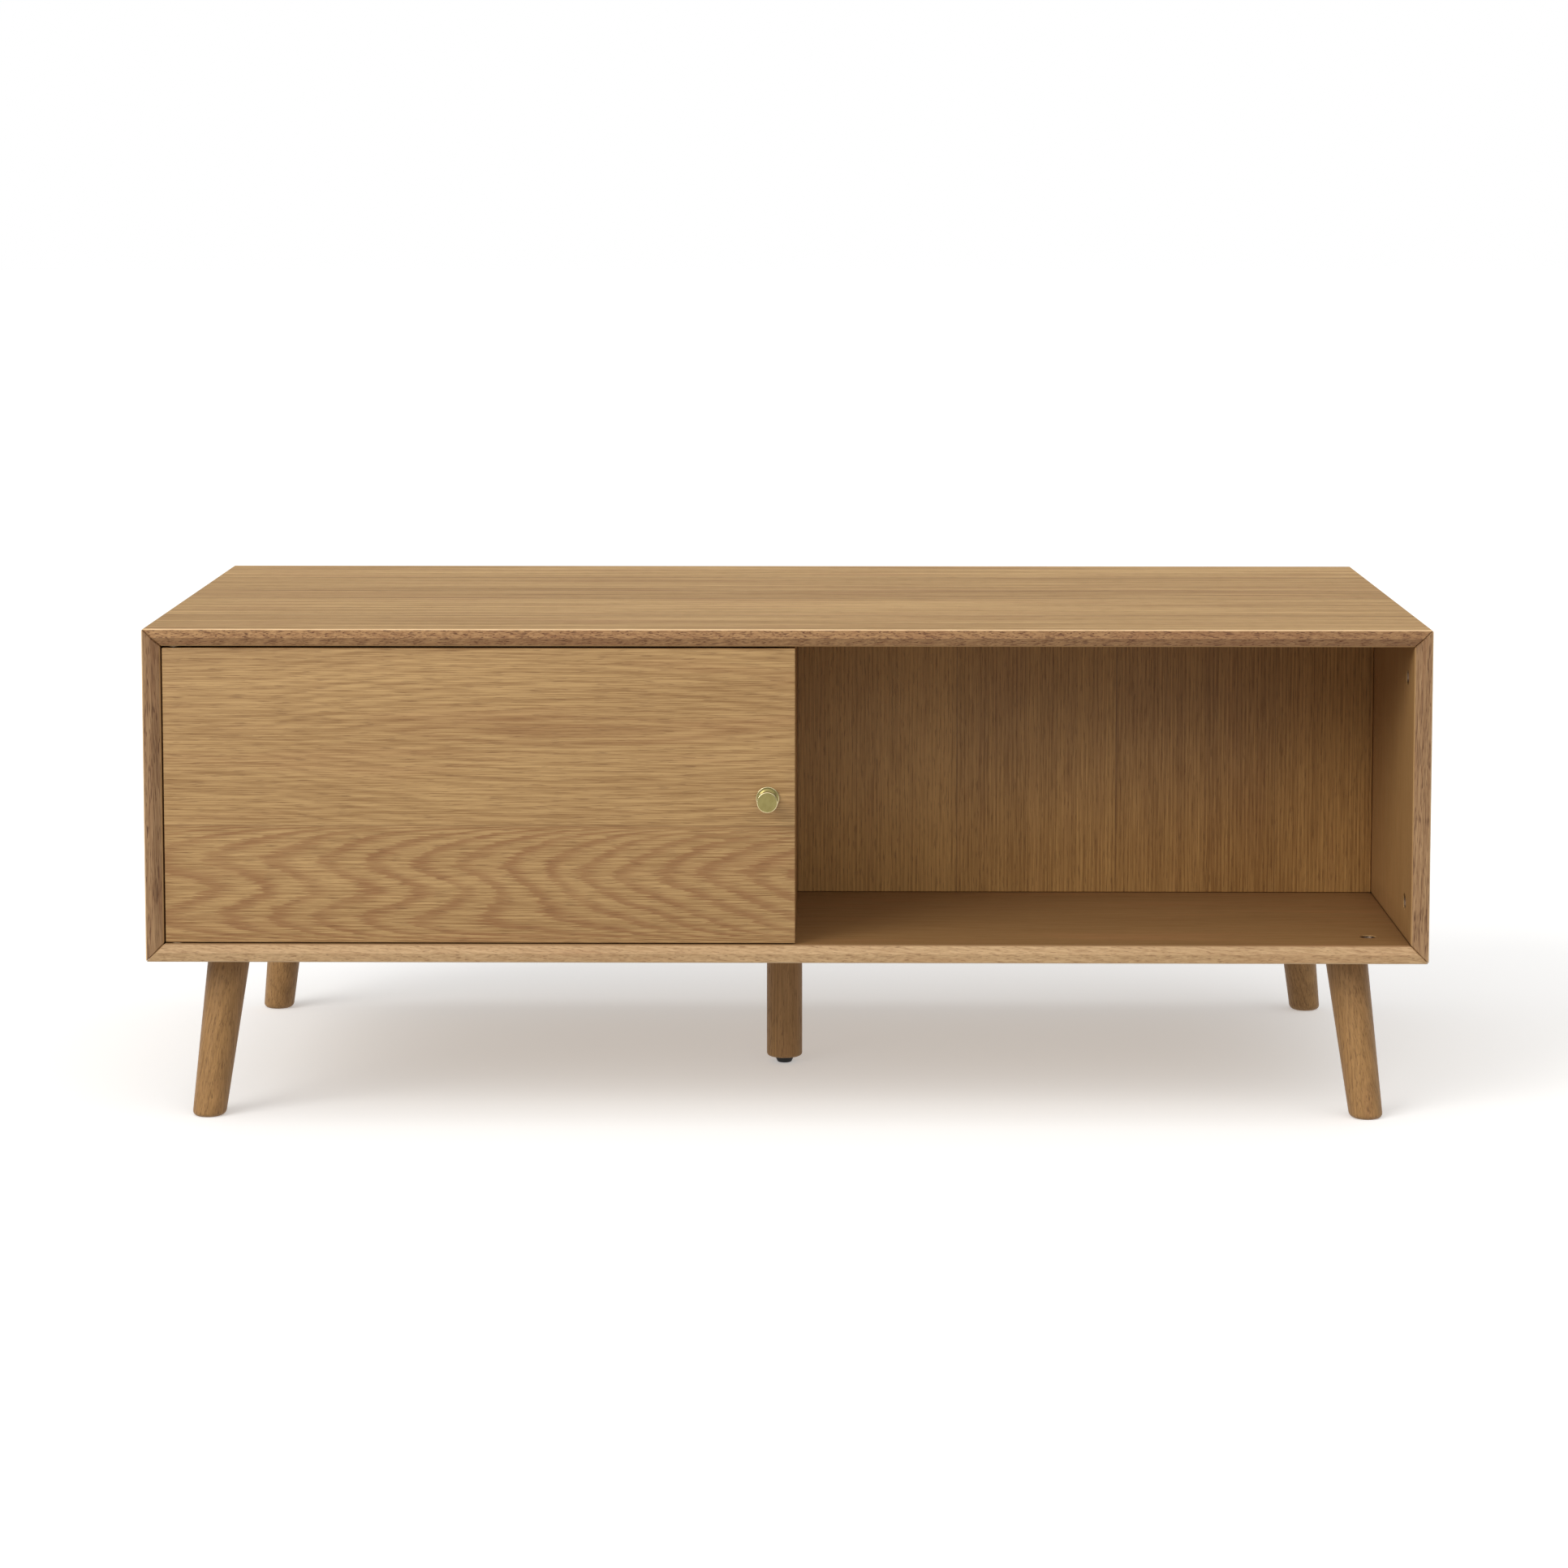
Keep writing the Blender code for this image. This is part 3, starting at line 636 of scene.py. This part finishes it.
# %% Shapes of the boards
SLANT = Vector((0, EDGE_FLAT - board, -EDGE_FALL)).normalized()
inner_fall = EDGE_FALL * (board - VENEER - EDGE_FLAT) / (board - EDGE_FLAT)


def panel_outline():
    """The panel with its two veneers, which reach past the core over the edge strips."""
    front = [
        (VENEER, 0), (0, -VENEER), (strip_depth, -VENEER), (strip_depth, VENEER - board),
        (inner_fall, VENEER - board), (EDGE_FALL, -board),
    ]
    half = [(y - half_depth, z) for y, z in front]
    return half + [(-y, z) for y, z in reversed(half)]


def strip_outline():
    """The solid strip between the two veneers, with its slanted inner half."""
    corners = [
        (0, -VENEER), (0, -EDGE_FLAT), (inner_fall, VENEER - board),
        (strip_depth, VENEER - board), (strip_depth, -VENEER),
    ]
    return [(y - half_depth, z) for y, z in corners]


def mitre(bm, length, faces):
    """Saws both ends at 45 degrees and eases the mitre where it meets the given faces.

    faces holds a point on each face at its positive end, and the way that the face looks.
    """
    for end in (1, -1):
        slope = Vector((end, 0, -1)).normalized()
        tip = Vector((end * length / 2, 0, 0))
        saw(bm, tip - slope * JOINT_GAP / 2, slope)
        corner = Vector((end, 0, 1)).normalized()
        saw(bm, tip - corner * CORNER_EASE, corner)
        for (x, y, z), outward in faces:
            ease = (slope + Vector(outward)).normalized()
            saw(bm, Vector((end * x, y, z)) - ease * JOINT_EASE, ease)


BOARDS = {
    "top": Matrix.Translation((0, 0, case_top)),
    "bottom": Matrix.Translation((0, 0, case_bottom)) @ Matrix.Rotation(math.pi, 4, "X"),
    "right": Matrix.Translation((case_right, 0, (case_bottom + case_top) / 2))
    @ Matrix.Rotation(math.pi / 2, 4, "Y"),
    "left": Matrix.Translation((case_left, 0, (case_bottom + case_top) / 2))
    @ Matrix.Rotation(-math.pi / 2, 4, "Y"),
}
HALF_TURN = Matrix.Rotation(math.pi, 4, "Z")


def bore(name, axis, clear=0.0003, past=0.001, radius=None):
    """The hole that a round part of the design needs, along one axis (0, 1 or 2)."""
    low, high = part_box(name)
    middle, size = (low + high) / 2, high - low
    reach = Vector([size[i] / 2 + past if i == axis else 0 for i in range(3)])
    around = max(size[i] for i in range(3) if i != axis) / 2
    return (radius or around) + clear, middle - reach, middle + reach


print("panel outline has", len(panel_outline()), "corners, strip", len(strip_outline()))

# %% Make the four panels and their eight strips
BUSH_HOLE = 0.0040


def lie(side):
    """Whether a board lies level, how long it is and which way its grain runs."""
    if side in ("top", "bottom"):
        return True, case_width, (1, 0, 0)
    return False, case_height, (0, 0, 1)


def make_panel(side, where, number):
    """A panel, bored for its cams. Its outer face, its edge and its inner face differ."""
    level, length, along = lie(side)
    bm = planed(panel_outline(), length + 2 * board)
    mitre(bm, length, [((length / 2 - board, 0, -board), (0, 0, -1))])
    bmesh.ops.transform(bm, matrix=where, verts=bm.verts)
    cams = [name for name in sorted(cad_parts) if name.startswith(f"cam_{side}")]
    bm = drilled(bm, [bore(name, 2 if level else 0) for name in cams])
    outward = where.to_3x3() @ Vector((0, 0, 1))
    for face in bm.faces:
        slant = face.normal.dot(outward)
        inner = slant < -0.5
        # Slot 1, the veneer's slanted cut edge, has the pale tone that is partly a painted
        # highlight.
        face.material_index = 1 if 0.5 < slant < 0.9 and abs(face.normal.y) > 0.5 else 2 * inner
    lay_grain(bm, along, (0, 1, 0), start=(0.7 * number, 0.31 * number, 0.05 * number))
    node = f"{side}_panel" if level else f"{side}_side_panel"
    inside = base_oak if side == "bottom" else inner_oak
    put(f"{side}_board", bm, [top_oak, cut_edge_and_highlight, inside], "case", [node])


def make_strip(side, where, number, face_name, turn):
    """An edge strip, bored for the door's bush where it lies over or under a door."""
    level, length, along = lie(side)
    bm = planed(strip_outline(), length + 2 * board)
    ridge = (length / 2, -half_depth, 0)
    slant_point = (length / 2 - EDGE_FLAT, -half_depth, -EDGE_FLAT)
    mitre(bm, length, [(ridge, (0, -1, 0)), (slant_point, SLANT)])
    bmesh.ops.transform(bm, matrix=where @ turn, verts=bm.verts)
    if level:
        bush = f"{face_name}_door_bush_{side}"
        bm = drilled(bm, [bore(bush, 2, radius=BUSH_HOLE)])
    lay_grain(bm, along, (0, 1, 0), start=(1.3 * number, 0.17 * number, 0.4))
    node = f"{face_name}_{side}_lipping"
    strip_oak = STRIP_OAKS.get(side, side_strip_oak)
    put(f"{face_name}_{side}_strip", bm, [strip_oak], "case", [node])


for number, (side, where) in enumerate(BOARDS.items()):
    make_panel(side, where, number)
    make_strip(side, where, number, "front", Matrix.Identity(4))
    make_strip(side, where, number, "rear", HALF_TURN)

# %% [markdown]
# ## Partition, dividers and doors
#
# These are plain rectangles of veneered board with banded edges. What makes them look real is
# the arris: every edge is rounded by about a millimetre with sandpaper, and that catches a
# thin line of light. A bevel on a scaled cube does the same.


# %% Make the flat boards
PARTITION_ARRIS, DIVIDER_ARRIS, DOOR_ARRIS = 0.0011, 0.0005, 0.0007
SCREW_HOLE = 0.0020


def flat_board(name, arris):
    """A box of the size of a design part, with rounded arrises."""
    low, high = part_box(name)
    bm = bmesh.new()
    size = Matrix.Diagonal((*(high - low), 1))
    bmesh.ops.create_cube(bm, size=1, matrix=Matrix.Translation((low + high) / 2) @ size)
    bmesh.ops.bevel(
        bm, geom=bm.edges[:], offset=arris, segments=3, profile=0.5, affect="EDGES", material=-1
    )
    return bm


bm = flat_board("partition", PARTITION_ARRIS)
lay_grain(bm, (0, 0, 1), (1, 0, 0))
put("partition_board", bm, [partition_oak], "case", ["partition"])
for face_name in ("front", "rear"):
    bm = flat_board(f"{face_name}_divider", DIVIDER_ARRIS)
    bm = drilled(bm, [bore(f"{face_name}_catch_magnet", 1)])
    lay_grain(bm, (0, 0, 1), (0, 1, 0), start=(2.0, 0.3, 0.0))
    node = f"{face_name}_divider"
    put(f"{face_name}_divider_board", bm, [inner_oak], "case", [node])

    bm = flat_board(f"{face_name}_door", DOOR_ARRIS)
    holes = [bore(f"{face_name}_door_pin_{end}", 2) for end in ("top", "bottom")]
    holes.append(bore(f"{face_name}_knob_screw", 1, past=0.002, radius=SCREW_HOLE))
    holes.append(bore(f"{face_name}_strike_disc", 1, past=0.0003))
    bm = drilled(bm, holes)
    turned_about = 1 if face_name == "front" else -1
    lay_grain(bm, (turned_about, 0, 0), (0, 0, 1))
    node = f"{face_name}_door"
    put(f"{face_name}_door_board", bm, [door_oak], f"{face_name}_door", [node])

# %% [markdown]
# ## Legs
#
# A leg is turned from solid oak, tapered towards the floor and set at a slant. It is a cone
# laid along the line from its foot to its top, sawn level at both ends, with the foot's edge
# rounded over. The grain follows the slant.

# %% Make the legs
LEG_TOP_RADIUS = 0.0200
LEG_FOOT_RADIUS = 0.0157
LEG_ROUND = 0.005
CENTRE_ROUND = 0.003
LEG_LEAN = math.radians(7)
SPARE = 0.1  # share of the length left at each end to be sawn off


def round_foot(bm, level, amount):
    """Rounds over the edge at the bottom of a leg."""
    rim = [edge for edge in bm.edges if all(vert.co.z < level + SLACK for vert in edge.verts)]
    bmesh.ops.bevel(
        bm, geom=rim, offset=amount, segments=6, profile=0.5, affect="EDGES", material=-1
    )


def leg(foot, top, foot_radius, top_radius, rounding):
    """A round leg between two points, sawn level at both."""
    along = top - foot
    slope = (top_radius - foot_radius) * SPARE
    bm = bmesh.new()
    where = Matrix.Translation((foot + top) / 2) @ along.to_track_quat("Z", "Y").to_matrix().to_4x4()
    bmesh.ops.create_cone(
        bm, cap_ends=True, segments=ROUND, radius1=foot_radius - slope,
        radius2=top_radius + slope, depth=along.length * (1 + 2 * SPARE), matrix=where,
    )
    saw(bm, foot, (0, 0, -1))
    saw(bm, top, (0, 0, 1))
    round_foot(bm, foot.z, rounding)
    return bm


for number, name in enumerate(n for n in sorted(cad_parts) if n.endswith("_leg")):
    low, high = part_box(name)
    bolt_low, bolt_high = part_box(name + "_bolt")
    bolt = (bolt_low + bolt_high) / 2
    top = Vector((bolt.x, bolt.y, high.z))
    if name == "centre_leg":
        foot = Vector((bolt.x, bolt.y, low.z))
        radius = (high.x - low.x) / 2
        bm = leg(foot, top, radius, radius, CENTRE_ROUND)
    else:
        # The top reaches as far inwards as the bolt says, so the foot lies outwards of it.
        outer = Vector((math.copysign(1, bolt.x), math.copysign(1, bolt.y), 0))
        lean = (case_bottom - low.z) * math.tan(LEG_LEAN)
        foot = Vector((bolt.x, bolt.y, low.z)) + outer * lean
        bm = leg(foot, top, LEG_FOOT_RADIUS, LEG_TOP_RADIUS, LEG_ROUND)
    lay_grain(bm, top - foot, (0, 1, 0), start=(0.4 * number, 0.03 * number, 0.02))
    put(name + "_turned", bm, [leg_oak], "case", [name])
    print(name, "foot", [round(c, 3) for c in foot], "top", [round(c, 3) for c in top])

# %% [markdown]
# ## Metal and plastic
#
# The knobs are satin brass, and everything that holds the unit together is zinc, steel or
# plastic. Turned metal keeps the fine rings of the tool, but here every fitting, like zinc
# castings and plastic, gets a fine even grain in its gloss and its surface. These
# finishes read the place in the object's own space, because nothing here needs a log.


# %% Finishes of the fittings
def fitting_finish(name, light, dark, roughness, metallic=0.0, grain=0.0006, relief=0.1):
    """Two close tones in cloudy patches, with a fine grain in the gloss and the surface."""
    material, start, shader = new_finish(name, roughness, metallic)
    place = start.node("TexCoord", output="Object")
    cloud = place.node("TexNoise", None, {"Vector": place, "Scale": 300.0, "Detail": 3.0})
    fine = place.node("TexNoise", None, {"Vector": place, "Scale": 1 / grain, "Detail": 2.0})
    colour = cloud.between(0.35, 0.65).blend(light, dark)
    start.tree.links.new(colour.socket, shader.inputs["Base Color"])
    dull = fine * 0.06 + cloud * 0.04 + (roughness - 0.05)
    start.tree.links.new(dull.socket, shader.inputs["Roughness"])
    bump = fine.node("Bump", None, {"Strength": relief, "Distance": 0.00005, "Height": fine})
    start.tree.links.new(bump.socket, shader.inputs["Normal"])
    return material


satin_brass = fitting_finish(
    "satin_brass", tone(152, 141, 90), tone(146, 134, 84), 0.30, 1.0, relief=0.02
)
# Far paler than the satin brass: partly polish, partly a painted highlight on the knobs' edges.
polished_highlight_brass = fitting_finish(
    "polished_highlight_brass", tone(244, 232, 190), tone(232, 218, 172), 0.24, 1.0, relief=0.02
)
zinc_cast = fitting_finish("zinc_cast", tone(132, 112, 96), tone(104, 86, 72), 0.5, 1.0)
bright_steel = fitting_finish("bright_steel", tone(196, 196, 194), tone(170, 170, 168), 0.30, 1.0)
dark_steel = fitting_finish("dark_steel", tone(84, 78, 70), tone(62, 58, 52), 0.50, 1.0)
black_pad = fitting_finish("black_pad", tone(26, 26, 27), tone(16, 16, 17), 0.55)
white_bush = fitting_finish("white_bush", tone(156, 130, 96), tone(142, 116, 84), 0.5)
print("fitting finishes:", [m.name for m in (satin_brass, zinc_cast, bright_steel, black_pad)])

# %% [markdown]
# ## How a fitting is turned
#
# Every fitting is round, so each is a half outline spun about its axis, as on a lathe. The
# outline is a list of (radius, height) pairs. A matrix from the box of the design part then
# stands the turned piece where the part is. Cross slots for a screwdriver are cut last.


# %% Lathe, place and slot
def spun(profile, steps=ROUND):
    """Spins an outline of (radius, height) pairs, listed from the top down, about Z."""
    bm = bmesh.new()
    points = [bm.verts.new((radius, 0, height)) for radius, height in profile]
    edges = [bm.edges.new(pair) for pair in zip(points, points[1:])]
    bmesh.ops.spin(
        bm, geom=points + edges, cent=(0, 0, 0), axis=(0, 0, 1), dvec=(0, 0, 0),
        angle=2 * math.pi, steps=steps, use_merge=True, use_normal_flip=False,
        use_duplicate=False,
    )
    bmesh.ops.remove_doubles(bm, verts=bm.verts, dist=WELD)
    bmesh.ops.recalc_face_normals(bm, faces=bm.faces)
    return bm


def stand(name, way):
    """The matrix that stands a turned piece on its design part, and the part's length."""
    low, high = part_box(name)
    way = Vector(way)
    length = abs((high - low).dot(way))
    turn = way.to_track_quat("Z", "Y").to_matrix().to_4x4()
    return Matrix.Translation((low + high) / 2 - way * length / 2) @ turn, length


def radius_of(name):
    """Half of the widest side of a round part, seen along its axis."""
    low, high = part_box(name)
    sides = sorted(high - low)
    # A disc has two long sides and a rod has two short ones.
    return (sides[1] if sides[2] - sides[1] < SLACK else sides[0]) / 2


def arc(centre, size, start, stop, steps=10):
    """Points on an ellipse's arc, from one angle to another in degrees."""
    angles = [math.radians(start + (stop - start) * i / steps) for i in range(steps + 1)]
    return [
        (centre[0] + size[0] * math.cos(a), centre[1] + size[1] * math.sin(a)) for a in angles
    ]


def rounded(radius, height, ease, steps=10):
    """The rounded upper edge of a disc or a rod."""
    return arc((radius - ease, height - ease), (ease, ease), 90, 0, steps)


def cross_slot(bm, top, span, width, depth):
    """Cuts a cross for a screwdriver into the end of a turned piece."""
    half, arm = width / 2, span / 2
    quarter = [(half, half), (half, arm), (-half, arm)]
    corners = []
    for number in range(4):
        turn = Matrix.Rotation(math.pi / 2 * number, 2)
        corners += [turn @ Vector(corner) for corner in quarter]
    cutter = bmesh.new()
    face = cutter.faces.new([cutter.verts.new((x, y, top - depth)) for x, y in corners])
    made = bmesh.ops.extrude_face_region(cutter, geom=[face])
    moved = [item for item in made["geom"] if isinstance(item, bmesh.types.BMVert)]
    bmesh.ops.translate(cutter, verts=moved, vec=(0, 0, depth * 3))
    bmesh.ops.recalc_face_normals(cutter, faces=cutter.faces)
    return carved(bm, cutter)


def thread(radius, low, high, pitch=0.00125, depth=0.0006):
    """The outline of a screw thread, as a stack of rings from the top down."""
    points = [(radius - depth, high)]
    count = int((high - low) / pitch)
    for ring in range(count):
        top = high - ring * pitch
        points += [(radius, top - pitch * 0.45), (radius, top - pitch * 0.55)]
        points.append((radius - depth, top - pitch))
    return points + [(radius - depth, low)]


def place_turned(name, profile, way, finish, body, cross=None, steps=ROUND):
    """Turns a piece and puts it in place of the design part of the same name."""
    where, length = stand(name, way)
    bm = spun(profile, steps)
    if cross:
        bm = cross_slot(bm, *cross)
    bmesh.ops.transform(bm, matrix=where, verts=bm.verts)
    put(name + "_turned", bm, [finish], body, [name])


print("a lathe with", ROUND, "steps")

# %% [markdown]
# ### The knobs
#
# The knob is a brass spool: a flat head with a fine chamfer, a neck hollowed by two quarter
# curves, and a thin base. Its outline is built from arcs, as a turner would set it out, and
# runs on into the bore for the screw. The narrow edges of head and base are polished, and
# catch the light as rings; they also get a much paler brass, so the rings are partly a
# painted highlight.

# %% Turn a knob
HEAD_RADIUS, HEAD_DEPTH, HEAD_CHAMFER = 0.0097, 0.0050, 0.0008
BASE_DEPTH, BASE_EDGE = 0.0022, 0.0006
NECK_RADIUS, UPPER_HOLLOW, LOWER_HOLLOW = 0.0044, 0.006, 0.008
SCREW_SHANK, SCREW_HEAD = 0.0020, 0.0024
KNOB_BORE = SCREW_SHANK + 0.0003


def knob_outline(length, base_radius):
    """From the middle of the head to the floor of the bore."""
    under = length - HEAD_DEPTH
    rim = HEAD_RADIUS - HEAD_CHAMFER
    chamfer = (HEAD_CHAMFER, HEAD_CHAMFER)
    outline = [(0, length - 0.00015), (rim * 0.55, length - 0.0001), (rim - 0.0002, length)]
    outline += arc((rim, length - HEAD_CHAMFER), chamfer, 75, 15, 4)
    outline += arc((rim, under + HEAD_CHAMFER), chamfer, -15, -75, 4)
    outline += arc((rim, under - UPPER_HOLLOW), (NECK_RADIUS - rim, UPPER_HOLLOW), 90, 0, 14)
    outline += arc(
        (base_radius - HEAD_CHAMFER, BASE_DEPTH + LOWER_HOLLOW),
        (NECK_RADIUS - base_radius + HEAD_CHAMFER, LOWER_HOLLOW), 0, -90, 14,
    )
    foot = (base_radius - BASE_EDGE, BASE_DEPTH - BASE_EDGE)
    outline += arc(foot, (BASE_EDGE, BASE_EDGE), 75, 0, 4)
    outline += [(base_radius, 0.0002), (base_radius - 0.0002, 0)]
    return outline + [(KNOB_BORE, 0), (KNOB_BORE, 0.012), (0, 0.0126)]


def make_knob(face_name, outward):
    name = f"{face_name}_knob"
    where, length = stand(name, outward)
    bm = spun(knob_outline(length, radius_of(name)))
    # Slot 1, on the polished edges, is the paler brass, partly a painted highlight.
    for face in bm.faces:
        height, tilt = face.calc_center_median().z, abs(face.normal.z)
        edge = height > length - HEAD_CHAMFER or height < BASE_DEPTH
        face.material_index = int(edge and tilt < 0.98 and face.normal.z > 0.05)
    bmesh.ops.transform(bm, matrix=where, verts=bm.verts)
    put(name + "_turned", bm, [satin_brass, polished_highlight_brass], f"{face_name}_door", [name])


print("knob outline has", len(knob_outline(0.02, 0.008)), "points")

# %% [markdown]
# ### Screws, strikes and magnets
#
# A pan-head screw comes through the door from the back into the knob. Its head looks the
# other way from its thread, so the screw is turned over for a moment while the cross is cut.
# A dished steel disc in the back of the door meets a magnet in the divider, which has a
# groove between its core and its cup.

# %% Turn a screw, a strike disc and a magnet
EASE = 0.0004  # rounding of the discs' edges
HALF_TURN_OVER = Matrix.Rotation(math.pi, 4, "X")


def make_knob_screw(face_name, outward):
    name = f"{face_name}_knob_screw"
    where, length = stand(name, outward)
    head_radius = radius_of(name)
    shank = thread(SCREW_SHANK, SCREW_HEAD, length - 0.0012, pitch=0.0008, depth=0.0003)
    outline = [(0, length), (SCREW_SHANK - 0.0008, length)] + shank[:-1]
    outline += arc((head_radius - 0.0002, SCREW_HEAD - 0.0003), (0.0002, 0.0003), 90, 0, 3)
    outline += arc((0, SCREW_HEAD * 0.6), (head_radius, SCREW_HEAD * 0.6), 0, -90)
    bm = spun(outline)
    bmesh.ops.transform(bm, matrix=HALF_TURN_OVER, verts=bm.verts)
    bm = cross_slot(bm, 0, head_radius * 1.1, 0.0008, 0.0013)
    bmesh.ops.transform(bm, matrix=where @ HALF_TURN_OVER, verts=bm.verts)
    put(name + "_turned", bm, [bright_steel], f"{face_name}_door", [name])


def make_strike_disc(face_name, inward):
    name = f"{face_name}_strike_disc"
    length, radius = stand(name, inward)[1], radius_of(name)
    dish = length - 0.0004
    outline = [(0, dish), (0.0022, dish), (0.0028, length)]
    outline += rounded(radius, length, EASE, 4) + [(radius, 0), (0, 0)]
    cross = (dish, 0.0026, 0.0006, 0.0010)
    place_turned(name, outline, inward, bright_steel, f"{face_name}_door", cross)


def make_catch_magnet(face_name, outward):
    name = f"{face_name}_catch_magnet"
    length, radius = stand(name, outward)[1], radius_of(name)
    core, groove = length - 0.0002, length - 0.0008
    outline = [(0, core), (radius - 0.0016, core), (radius - 0.0014, groove)]
    outline += [(radius - 0.0010, groove), (radius - 0.0008, length)]
    outline += rounded(radius, length, EASE, 4) + [(radius, 0), (0, 0)]
    place_turned(name, outline, outward, zinc_cast, "case")


print("ready to turn the door's fittings")

# %% [markdown]
# ### Pins and bushes
#
# Each door turns on two steel pins, one in its top edge and one in its bottom edge. The pins
# sit in flanged plastic bushes in the case, and the flange keeps the door off the wood.

# %% Turn the pins and bushes, then make the fittings of both doors
PIN_EASE = 0.0005
BUSH_BORE, BUSH_MOUTH, BUSH_FLOOR = 0.00258, 0.0028, 0.001
FLANGE = 0.0007
BUSH_SHANK = 0.0040


def make_pin(face_name, end):
    name = f"{face_name}_door_pin_{end}"
    length, radius = stand(name, (0, 0, 1))[1], radius_of(name)
    outline = [(0, length)] + rounded(radius, length, PIN_EASE)
    outline += arc((radius - PIN_EASE, PIN_EASE), (PIN_EASE, PIN_EASE), 0, -90) + [(0, 0)]
    place_turned(name, outline, (0, 0, 1), dark_steel, f"{face_name}_door")


def make_bush(face_name, end, way):
    name = f"{face_name}_door_bush_{end}"
    length, radius = stand(name, way)[1], radius_of(name)
    outline = [(0, BUSH_FLOOR), (BUSH_BORE, BUSH_FLOOR), (BUSH_BORE, length - 0.0003)]
    outline += [(BUSH_MOUTH, length)] + rounded(radius, length, EASE, 5)
    outline += [(radius, length - FLANGE), (BUSH_SHANK, length - FLANGE)]
    outline += [(BUSH_SHANK, 0.0004), (BUSH_SHANK - 0.0004, 0), (0, 0)]
    place_turned(name, outline, way, white_bush, "case")


for face_name, outward in (("front", (0, -1, 0)), ("rear", (0, 1, 0))):
    inward = tuple(-number for number in outward)
    make_knob(face_name, outward)
    make_knob_screw(face_name, outward)
    make_strike_disc(face_name, inward)
    make_catch_magnet(face_name, outward)
    for end, way in (("top", (0, 0, -1)), ("bottom", (0, 0, 1))):
        make_pin(face_name, end)
        make_bush(face_name, end, way)

# %% [markdown]
# ### Cams, bolts and the levelling foot
#
# A mitre connector ends in a small cam housing in the inner face of a board. It has a thin
# rim, a dish and a cross slot. The legs hang on threaded bolts, and the centre leg stands on
# a black pad with a threaded stud.

# %% Turn the cams
CAM_WAYS = {"top": (0, 0, -1), "bottom": (0, 0, 1), "left": (1, 0, 0), "right": (-1, 0, 0)}
CAM_DISH, CAM_DISH_RISE = 0.0024, 0.0006
CAM_CROSS_SPAN, CAM_CROSS_WIDTH, CAM_CROSS_DEPTH = 0.0066, 0.0014, 0.0030
for name in sorted(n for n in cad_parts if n.startswith("cam_")):
    way = CAM_WAYS[name.split("_")[1]]
    length, radius = stand(name, way)[1], radius_of(name)
    dish = length - CAM_DISH
    profile = [(0, dish), (radius - 0.0022, dish), (radius - 0.0013, dish + CAM_DISH_RISE)]
    profile += [(radius - 0.0009, length - 0.0002)]
    profile += arc((radius - EASE, length - 0.0003), (EASE, 0.0003), 120, 0, 5)
    profile += [(radius, EASE), (radius - EASE, 0), (0, 0)]
    cross = (dish, CAM_CROSS_SPAN, CAM_CROSS_WIDTH, CAM_CROSS_DEPTH)
    place_turned(name, profile, way, zinc_cast, "case", cross, steps=64)

# %% Turn the leg bolts and the levelling foot
BOLT_END = 0.0012  # bare length at both ends of a bolt, and how far its ends taper
for name in sorted(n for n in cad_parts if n.endswith("_leg_bolt")):
    length, radius = stand(name, (0, 0, 1))[1], radius_of(name)
    profile = [(0, length), (radius - BOLT_END, length)]
    profile += thread(radius, BOLT_END, length - BOLT_END)
    profile += [(radius - BOLT_END, 0), (0, 0)]
    place_turned(name, profile, (0, 0, 1), bright_steel, "case", steps=48)

PAD_TOP, PAD_FOOT, PAD_EDGE, STUD_RADIUS = 0.0063, 0.0062, 0.0006, 0.003
where, length = stand("levelling_foot", (0, 0, 1))
pad_radius = radius_of("levelling_foot")
profile = [(0, length), (STUD_RADIUS - 0.0008, length)]
profile += thread(STUD_RADIUS, PAD_TOP, length - 0.001, pitch=0.001, depth=0.0005)
profile += rounded(pad_radius, PAD_TOP, PAD_EDGE, 5) + [(pad_radius, PAD_TOP - 2 * PAD_EDGE)]
profile += arc((PAD_FOOT - 0.0002, 0.0012), (0.0014, 0.0012), -5, -90, 6) + [(0, 0)]
bm = spun(profile)
bmesh.ops.transform(bm, matrix=where, verts=bm.verts)
for face in bm.faces:
    face.material_index = 1 if face.calc_center_median().z > PAD_TOP + 0.0002 else 0
put("levelling_foot_turned", bm, [black_pad, bright_steel], "levelling_foot",
    ["levelling_foot"])
